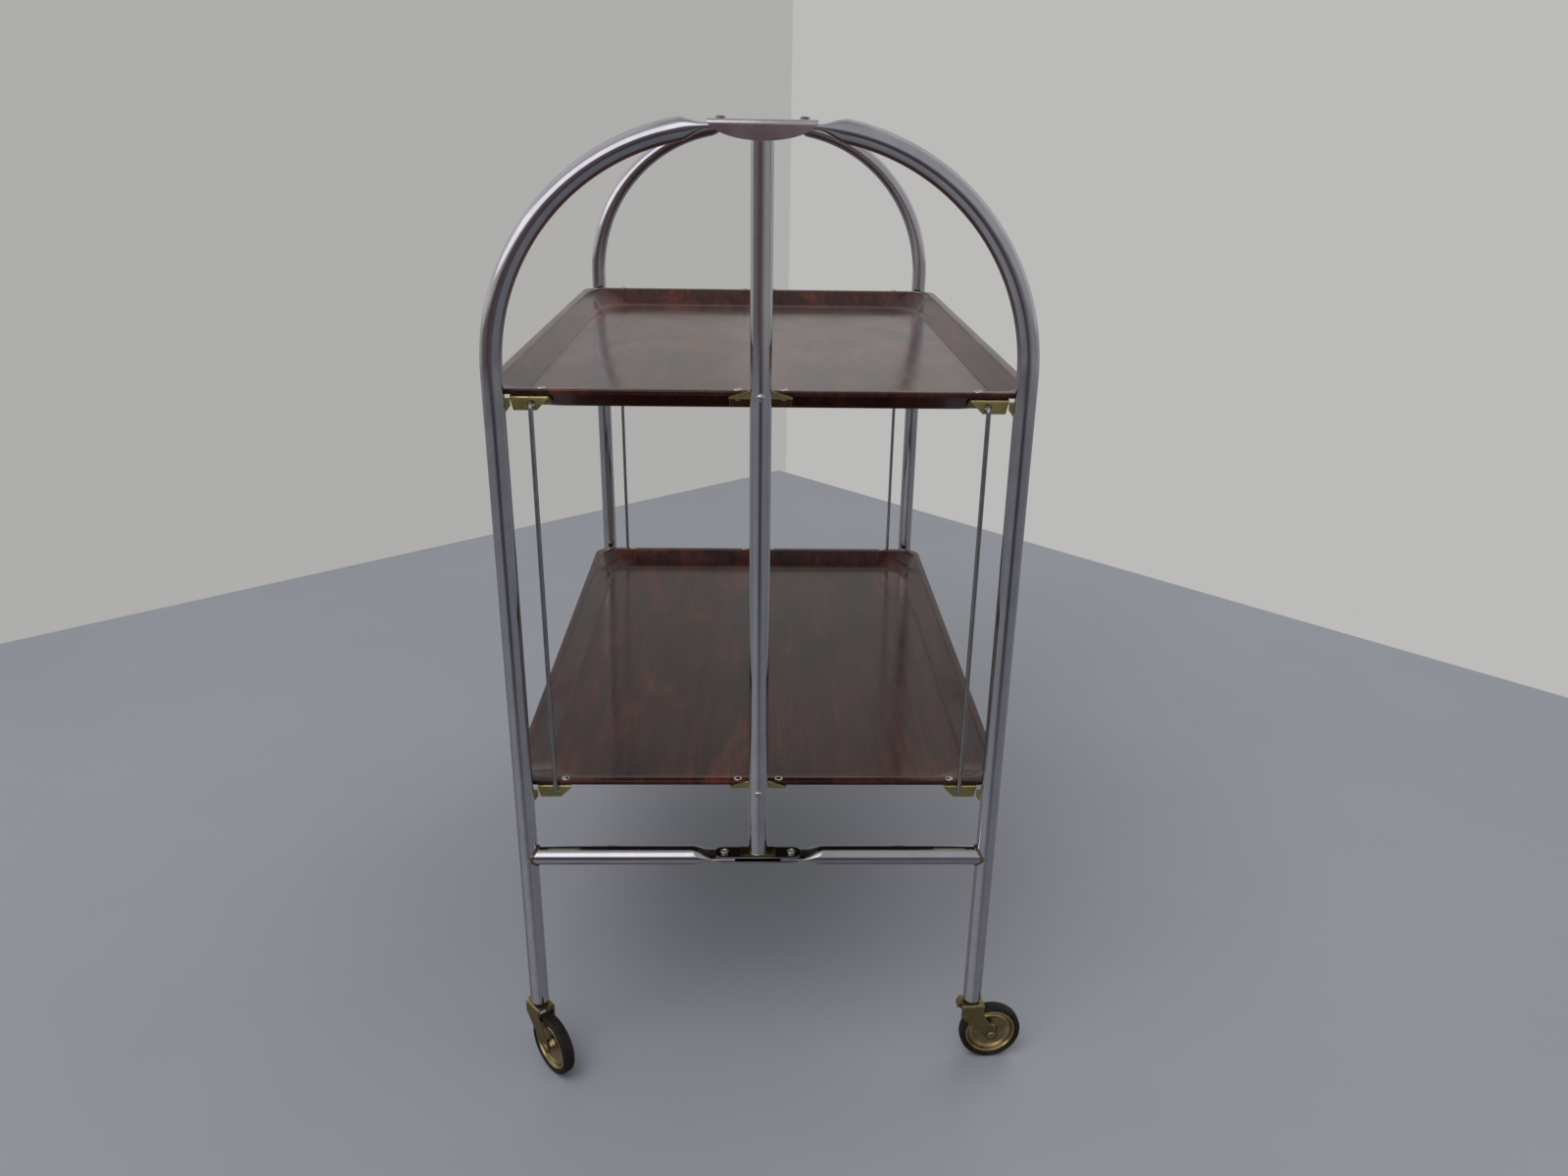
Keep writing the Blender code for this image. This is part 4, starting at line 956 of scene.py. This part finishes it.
def fork_mesh():
    """Bridge and two tapered arms of one bent strip, and a rear lug."""
    middle = FORK_PLATE_TOP - FORK_SHEET / 2
    waist = middle - FORK_WAIST
    back, front = (-FORK_HALF, waist), (FORK_HALF, waist)
    touch = []
    for point, sense in ((back, 1), (front, -1)):
        turn = tangent_turn(point, sense)
        touch.append((TRAIL + EAR_RADIUS * cos(turn), WHEEL_RADIUS + EAR_RADIUS * sin(turn)))

    def edge(point, ear, height, side):
        if height >= waist:
            return point[0]
        if height > ear[1]:
            return point[0] + (ear[0] - point[0]) * (waist - height) / (waist - ear[1])
        return TRAIL + side * sqrt(max(EAR_RADIUS**2 - (height - WHEEL_RADIUS) ** 2, 1e-10))

    arm = []
    quarter = [pi / 2 * step / ARM_STEPS for step in range(ARM_STEPS)]
    heights = [WHEEL_RADIUS - EAR_RADIUS * cos(turn) for turn in quarter]
    rise = waist - WHEEL_RADIUS
    heights += [WHEEL_RADIUS + rise * step / ARM_STEPS for step in range(ARM_STEPS + 1)]
    for height in heights:
        arm.append((height, edge(back, touch[0], height, -1), edge(front, touch[1], height, 1)))
    level = (FORK_INNER + FORK_OUTER) / 2
    stations = [(-level, height, low, high) for height, low, high in arm]
    corner = len(stations)
    stations += [(-level, middle, -FORK_HALF, FORK_HALF), (level, middle, -FORK_HALF, FORK_HALF)]
    stations += [(level, height, low, high) for height, low, high in reversed(arm)]
    strip = bent_sheet(rounded(stations, {corner: FORK_BEND, corner + 1: FORK_BEND}), FORK_SHEET)
    lug_out = LUG_REACH - FORK_SHEET / 2
    path = ((FORK_HALF - TOUCH, middle), (lug_out, middle), (lug_out, FORK_PLATE_TOP - LUG_DROP))
    lug = [(out, height, -LUG_HALF, LUG_HALF) for out, height in path]
    lug_sheet = bent_sheet(rounded(lug, {1: FORK_BEND}), FORK_SHEET)
    return joined([(strip, Matrix.Identity(4)), (lug_sheet, Matrix.Rotation(-pi / 2, 4, "Z"))])


def axle_mesh():
    """An axle along Z with a domed head outside each arm of the fork."""
    seat = FORK_OUTER
    upper = [(AXLE_RADIUS, seat - FORK_SHEET / 2), (AXLE_HEAD * 0.97, seat - FORK_SHEET / 2)]
    upper += dome(AXLE_HEAD, seat, AXLE_RISE, 9)
    lower = [(radius, -height) for radius, height in reversed(upper)]
    return turned(lower + upper)


def stem_mesh():
    """Swivel stem: riveted head under the bridge, collar above it, bush in the leg."""
    bush = BORE_RADIUS - TOUCH
    head_top = FORK_PLATE_TOP - FORK_SHEET - TOUCH
    profile = [
        (STEM_HEAD * 0.9, head_top - STEM_HEAD_RISE),
        (STEM_HEAD, head_top - STEM_HEAD_RISE * 0.7),
        (STEM_HEAD, head_top),
        (STEM_RADIUS, head_top),
        (STEM_RADIUS, FORK_PLATE_TOP + TOUCH),
        (STEM_COLLAR - STEM_CHAMFER, FORK_PLATE_TOP + TOUCH),
        (STEM_COLLAR, FORK_PLATE_TOP + TOUCH + STEM_CHAMFER),
        (STEM_COLLAR, LEG_FOOT - TOUCH - STEM_CHAMFER),
        (STEM_COLLAR - STEM_CHAMFER, LEG_FOOT - TOUCH),
        (bush, LEG_FOOT - TOUCH),
        (bush, LEG_FOOT + STEM_BUSH),
    ]
    return turned(profile)


def wheel_part(half):
    """Turn a closed profile from its (radius, half width) points on one side."""
    other = [(radius, -width) for radius, width in reversed(half)]
    return turned(half + other, WHEEL_SIDES, closed=True)


def tyre_mesh():
    """A tyre with rounded shoulders, a lip at the disc and a fine mould line round the tread."""
    half = [(TYRE_INNER + past, width) for past, width in TYRE_LIP]
    centre = (WHEEL_RADIUS - TYRE_ROUND, TYRE_WIDTH / 2 - TYRE_ROUND)
    half += arc(centre, TYRE_ROUND, pi / 2, radians(12), 8)
    half += [(WHEEL_RADIUS + past, width) for past, width in MOULD_LINE]
    return wheel_part(half)


# -------- assembly


def labelled_ends():
    """The four quarters: label, side as shaped at the near end, its sign and the end's turn."""
    for end_name, end in ENDS:
        for side_name, side in SIDES:
            other = "right" if side < 0 else "left"
            yield f"{end_name}_{side_name if end_name == 'near' else other}", side_name, side, end


NEAR = at(0, -FRAME_Y, 0)
PIVOTS = (("upper", UPPER_PIVOT), ("lower", LOWER_PIVOT))
PLATES = (("upper", UPPER_PLATE_UNDER), ("lower", LOWER_PLATE_UNDER))


def on_frame(name, mesh, finish, place, nodes, rounding=0.0):
    piece(name, mesh, finish, place, "frame", nodes, rounding)


def dress_frame():
    post, clasp, pivot = post_mesh(), clasp_mesh(), pivot_rivet_mesh()
    plate = plate_mesh(PLATE_HALF_LENGTH, PLATE_HALF_WIDTH, PLATE_THICKNESS, PLATE_HALF_WIDTH)
    foot = plate_mesh(FOOT_HALF_LENGTH, FOOT_HALF_WIDTH, FOOT_THICKNESS, FOOT_CORNER)
    for name, end in ENDS:
        here = end @ NEAR
        on_frame(f"{name}_post_tube", post, CHROME, here, [f"{name}_post"])
        covered = [f"{name}_clasp"]
        on_frame(
            f"{name}_clasp_cover", clasp, CHROME_SHEET, here, covered, WIDE_ROUND
        )
        for level, under in PLATES:
            label, place = f"{name}_{level}_hinge_plate", here @ at(0, 0, under)
            sheet = f"{label}_sheet"
            on_frame(sheet, plate, CHROME_PAINTED_DARK, place, [label], WIDE_ROUND)
        place = here @ at(0, 0, FOOT_UNDER)
        covered = [f"{name}_post_foot"]
        on_frame(f"{name}_post_foot_pad", foot, FOOT_PAINTED_REFLECTION, place, covered, EDGE_ROUND / 2)
        for level, height in PIVOTS:
            rivet, place = f"{name}_{level}_pivot_rivet", here @ at(0, 0, height) @ ALONG_Y
            on_frame(f"{rivet}_head", pivot, NICKEL, place, [rivet])
    clasp_pin = clasp_screw_mesh(ARCH_TOP - ARCH_TONGUE, CLASP_TOP)
    plate_pin = eyelet(LOWER_PLATE_UNDER, UPPER_PLATE_UNDER + PLATE_THICKNESS)
    for label, _, side, end in labelled_ends():
        here = end @ NEAR
        covered = [f"{label}_half_frame"]
        on_frame(f"{label}_leg_tube", leg_mesh(side), CHROME, here, covered)
        on_frame(f"{label}_crossbar", crossbar_mesh(side), CHROME, here, ())
        on_frame(f"{label}_weld", weld_mesh(side), WELD, here, ())
        catch = catch_mesh(side)
        for level, height in PIVOTS:
            place = here @ at(0, TUBE_RADIUS - TOUCH, height - CATCH_BELOW_PIVOT)
            on_frame(f"{label}_{level}_catch", catch, BRASS, place, (), EDGE_ROUND / 2)
        hinge = here @ at(side * HINGE_OFFSET, 0, 0)
        screw = f"{label}_clasp_screw"
        on_frame(f"{screw}_head", clasp_pin, DARK_SCREW, hinge, [screw])
        rivet = [f"{label}_hinge_rivet"]
        on_frame(f"{label}_hinge_eyelet", plate_pin, NICKEL, hinge, rivet)


def dress_tray(tray, pivot_height):
    body = f"{tray}_tray_body"
    pivot = at(0, 0, pivot_height)
    wood, covered = WOODS[tray], [f"{tray}_tray"]
    piece(f"{tray}_tray_shell", tray_mesh(), wood, pivot, body, covered)
    centre, screw, tail = centre_bracket_mesh(), screw_mesh(), screw_tail_mesh()
    corners = {side: corner_bracket_mesh(side) for _, side in SIDES}

    def bracket(covers, mesh, place):
        piece(f"{covers}_sheet", mesh, BRASS, place, body, [covers], EDGE_ROUND)

    def screwed(name, place):
        for part, mesh in (("screw", screw), ("tail", tail)):
            piece(f"{name}_{part}", mesh, NICKEL, place, body, ())

    for name, end in ENDS:
        here = pivot @ end
        bracket(f"{tray}_{name}_pivot_bracket", centre, here)
        for side_name, side in SIDES:
            screwed(f"{tray}_{name}_{side_name}_centre", here @ lip_point(side, CENTRE_SCREW_X))
    for label, _, side, end in labelled_ends():
        here = pivot @ end
        bracket(f"{tray}_{label}_bracket", corners[side], here)
        screwed(f"{tray}_{label}_corner", here @ lip_point(side, CORNER_SCREW_X))


def dress_rods():
    rod = rod_mesh()
    for label, _, side, end in labelled_ends():
        place = end @ at(side * ROD_X, -ROD_OUT, UPPER_PIVOT - ROD_BELOW_PIVOT)
        covered = [f"{label}_link_rod"]
        piece(f"{label}_link_wire", rod, WIRE, place, f"{label}_rod_body", covered)


def dress_castors():
    fork, stem, axle = fork_mesh(), stem_mesh(), axle_mesh()
    disc, tyre = wheel_part(list(DISC_PROFILE)), tyre_mesh()
    for label, side_name, side, end in labelled_ends():
        upright = end @ NEAR @ at(side * LEG_X, 0, 0)
        swivel = upright @ Matrix.Rotation(TRAIL_ANGLES[side_name], 4, "Z")
        wheel = swivel @ at(TRAIL, 0, WHEEL_RADIUS) @ ALONG_Y
        turning, rolling = f"{label}_fork_body", f"{label}_wheel_body"
        on_frame(f"{label}_castor_pin", stem, PIN, upright, [f"{label}_castor_stem"])
        steel, bent = "castor_steel", [f"{label}_fork"]
        piece(f"{label}_fork_strip", fork, OLIVE, swivel, turning, bent, EDGE_ROUND)
        piece(f"{label}_axle_heads", axle, DISC, wheel, turning, ())
        piece(f"{label}_disc", disc, DISC, wheel, rolling, [f"{label}_wheel_disc"])
        piece(f"{label}_rubber", tyre, RUBBER, wheel, rolling, [f"{label}_tyre"])


dress_frame()
for tray, height in PIVOTS:
    dress_tray(tray, height)
dress_rods()
dress_castors()


# -------- room, light and camera

FLOOR_CORNERS = ((-9.0, -9.5), (9.0, -9.5), (9.0, -7.81), (0.0528, 1.5903), (-9.0, -5.957))
FLOOR_COLOUR = (0.236, 0.245, 0.275)
FLOOR_CLOUD = 0.03
WALL_LEFT = (0.425, 0.420, 0.410)
WALL_RIGHT = (0.500, 0.495, 0.485)
CEILING = (0.32, 0.305, 0.315)
WINDOW = (1.30, 1.23, 1.28)
PERSON = (0.052, 0.050, 0.062)
LEFT_HIGH = (0.50, 0.47, 0.50)
RIGHT_HIGH = (0.385, 0.375, 0.395)
# Tones of the painted room by height, from straight down (0) over level (0.5) to straight up (1)
FLOOR_LEFT = ((0.0, (0.15, 0.15, 0.16)), (0.21, (0.26, 0.26, 0.28)), (0.35, (0.19, 0.19, 0.20)))
FLOOR_RIGHT = ((0.0, (0.13, 0.13, 0.15)), (0.25, (0.17, 0.17, 0.19)))
FLOOR_AHEAD = (
    (0.0, (0.07, 0.06, 0.07)), (0.28, (0.19, 0.19, 0.20)),
    (0.40, (0.20, 0.20, 0.22)), (0.43, (0.34, 0.33, 0.32)),
)
AMBIENT = tuple(
    (place, (value,) * 3)
    for place, value in ((0.0, 0.30), (0.50, 0.36), (0.62, 0.50), (0.80, 0.80), (1.0, 0.88))
)
# Tones by direction across, from -X (0) to +X (1)
BAND_BEHIND = (
    (0.0, (0.15, 0.13, 0.12)), (0.32, (0.07, 0.05, 0.05)),
    (0.54, (0.14, 0.10, 0.12)), (0.80, (0.26, 0.25, 0.25)),
)
LEFT_LOW = ((0.0, (0.52, 0.49, 0.45)), (0.25, (0.24, 0.20, 0.19)), (0.42, (0.15, 0.13, 0.13)))
WALLS_AHEAD = (
    (0.0, (0.62, 0.60, 0.62)), (0.485, WALL_LEFT),
    (0.495, WALL_RIGHT), (1.0, (0.54, 0.53, 0.54)),
)
LAMP_TARGET = (0.0, 0.0, 0.35)
LAMP_SIZE = 1.6
LAMPS = (("key", (-0.7, -1.3, 2.5), 34.0), ("fill", (1.2, 1.4, 2.4), 13.6))


def make_floor():
    shape = bmesh.new()
    shape.faces.new([shape.verts.new((x, y, 0.0)) for x, y in FLOOR_CORNERS])
    made = bpy.data.objects.new("floor", mesh_from(shape))
    bpy.context.scene.collection.objects.link(made)
    finish, tree, shader = new_material("floor_paint", 0.0)
    cloud = noise(tree, stretched(tree, UNSTRETCHED), 2.2, 4.0)
    low = tuple(part * (1 - FLOOR_CLOUD) for part in FLOOR_COLOUR)
    high = tuple(part * (1 + FLOOR_CLOUD) for part in FLOOR_COLOUR)
    colour = ramp(tree, cloud, ((0.3, low), (0.7, high)))
    feed(tree, shader, {"Base Color": colour, "Roughness": 0.55, "Specular IOR Level": 0.25})
    made.data.materials.append(finish)
    made.visible_glossy = False


def make_world():
    """The room: even light, pale walls for the camera, and painted surroundings for reflections.

    Reflections see a floor all round, pale walls ahead, and behind the camera a dim room with a
    bright window high on its left.
    """
    world = bpy.data.worlds.new("room")
    bpy.context.scene.world = world
    world.use_nodes = True
    tree = world.node_tree
    tree.nodes.clear()
    where = node(tree, "ShaderNodeTexCoord").outputs["Generated"]
    x, y, z = node(tree, "ShaderNodeSeparateXYZ", {0: where}).outputs

    def calc(operation, first, second=0.0):
        return maths(tree, operation, first, second)

    def share(value, low, high, *ends):
        return spread(tree, value, low, high, *ends)

    def step(value, place, soft, first, second):
        return mixed(tree, share(value, place - soft, place + soft), first, second)

    level = calc("SQRT", calc("ADD", calc("MULTIPLY", x, x), calc("MULTIPLY", y, y)))
    aside = calc("DIVIDE", x, calc("MAXIMUM", level, 0.001))
    across = share(aside, -1.0, 1.0)
    height = share(z, -1.0, 1.0)
    corner = calc("SUBTRACT", x, calc("MULTIPLY", y, 0.027))
    wall = step(corner, 0.0, 0.0005, WALL_LEFT, WALL_RIGHT)
    # Behind the camera, below the horizon: floor, with the dark shape of whoever stands there
    floor = step(x, 0.0, 0.08, ramp(tree, height, FLOOR_LEFT), ramp(tree, height, FLOOR_RIGHT))
    centred = calc("ABSOLUTE", calc("ADD", aside, 0.03))
    person = calc("MULTIPLY", share(centred, 0.12, 0.52, 1.0, 0.0), share(z, -0.68, -0.40))
    low = mixed(tree, person, floor, PERSON)
    # Above it: grey on the right, a bright window on the left
    slanted = calc("SUBTRACT", z, calc("MULTIPLY", aside, 0.42))
    window = calc("MULTIPLY", share(z, 0.17, 0.25), share(slanted, 0.90, 0.98, 1.0, 0.0))
    left = mixed(tree, window, LEFT_HIGH, WINDOW)
    left = step(z, 0.17, 0.05, ramp(tree, across, LEFT_LOW), left)
    high = step(aside, -0.01, 0.03, left, RIGHT_HIGH)
    back = step(z, -0.20, 0.03, low, ramp(tree, across, BAND_BEHIND))
    back = step(z, 0.04, 0.05, back, high)
    front = ramp(tree, height, FLOOR_AHEAD)
    front = step(z, 0.0, 0.02, front, ramp(tree, across, WALLS_AHEAD))
    around = step(y, 0.0, 0.05, back, front)
    around = step(z, 0.93, 0.03, around, CEILING)
    rays = node(tree, "ShaderNodeLightPath")
    colour = mixed(tree, rays.outputs["Is Glossy Ray"], ramp(tree, height, AMBIENT), around)
    colour = mixed(tree, rays.outputs["Is Camera Ray"], colour, wall)
    glow = node(tree, "ShaderNodeBackground", {"Color": colour})
    node(tree, "ShaderNodeOutputWorld", {"Surface": glow.outputs[0]})


def make_lamp(name, place, power):
    """A square lamp that points at the cart and isn't seen in its chrome."""
    lamp = bpy.data.lights.new(name, "AREA")
    lamp.shape = "SQUARE"
    lamp.size = LAMP_SIZE
    lamp.energy = power
    made = bpy.data.objects.new(name, lamp)
    bpy.context.scene.collection.objects.link(made)
    away = Vector(place) - Vector(LAMP_TARGET)
    made.matrix_world = at(*place) @ away.to_track_quat("Z", "Y").to_matrix().to_4x4()
    made.visible_glossy = False


# Camera fitted to the photograph, 1600 by 1200
FOCAL_PIXELS = 1195.27
IMAGE_WIDTH = 1600
SENSOR_WIDTH = 36.0
CAMERA_YAW = radians(1.536)
CAMERA_PITCH = radians(21.428)
CAMERA_ROLL = radians(0.848)
CAMERA_PLACE = (-0.00356, -1.09958, 0.75619)


def make_camera():
    lens = bpy.data.cameras.new("camera")
    lens.sensor_fit = "HORIZONTAL"
    lens.sensor_width = SENSOR_WIDTH
    lens.lens = FOCAL_PIXELS * SENSOR_WIDTH / IMAGE_WIDTH
    made = bpy.data.objects.new("camera", lens)
    bpy.context.scene.collection.objects.link(made)
    yaw, pitch, roll = CAMERA_YAW, CAMERA_PITCH, CAMERA_ROLL
    forward = Vector((sin(yaw) * cos(pitch), cos(yaw) * cos(pitch), -sin(pitch)))
    level = Vector((cos(yaw), -sin(yaw), 0.0))
    upward = level.cross(forward)
    right = level * cos(roll) + upward * sin(roll)
    up = upward * cos(roll) - level * sin(roll)
    turn = Matrix((right, up, -forward)).transposed().to_4x4()
    made.matrix_world = at(*CAMERA_PLACE) @ turn
    bpy.context.scene.camera = made


make_floor()
make_world()
for lamp_name, lamp_place, lamp_power in LAMPS:
    make_lamp(lamp_name, lamp_place, lamp_power)
make_camera()
bpy.context.scene.view_settings.view_transform = "Standard"
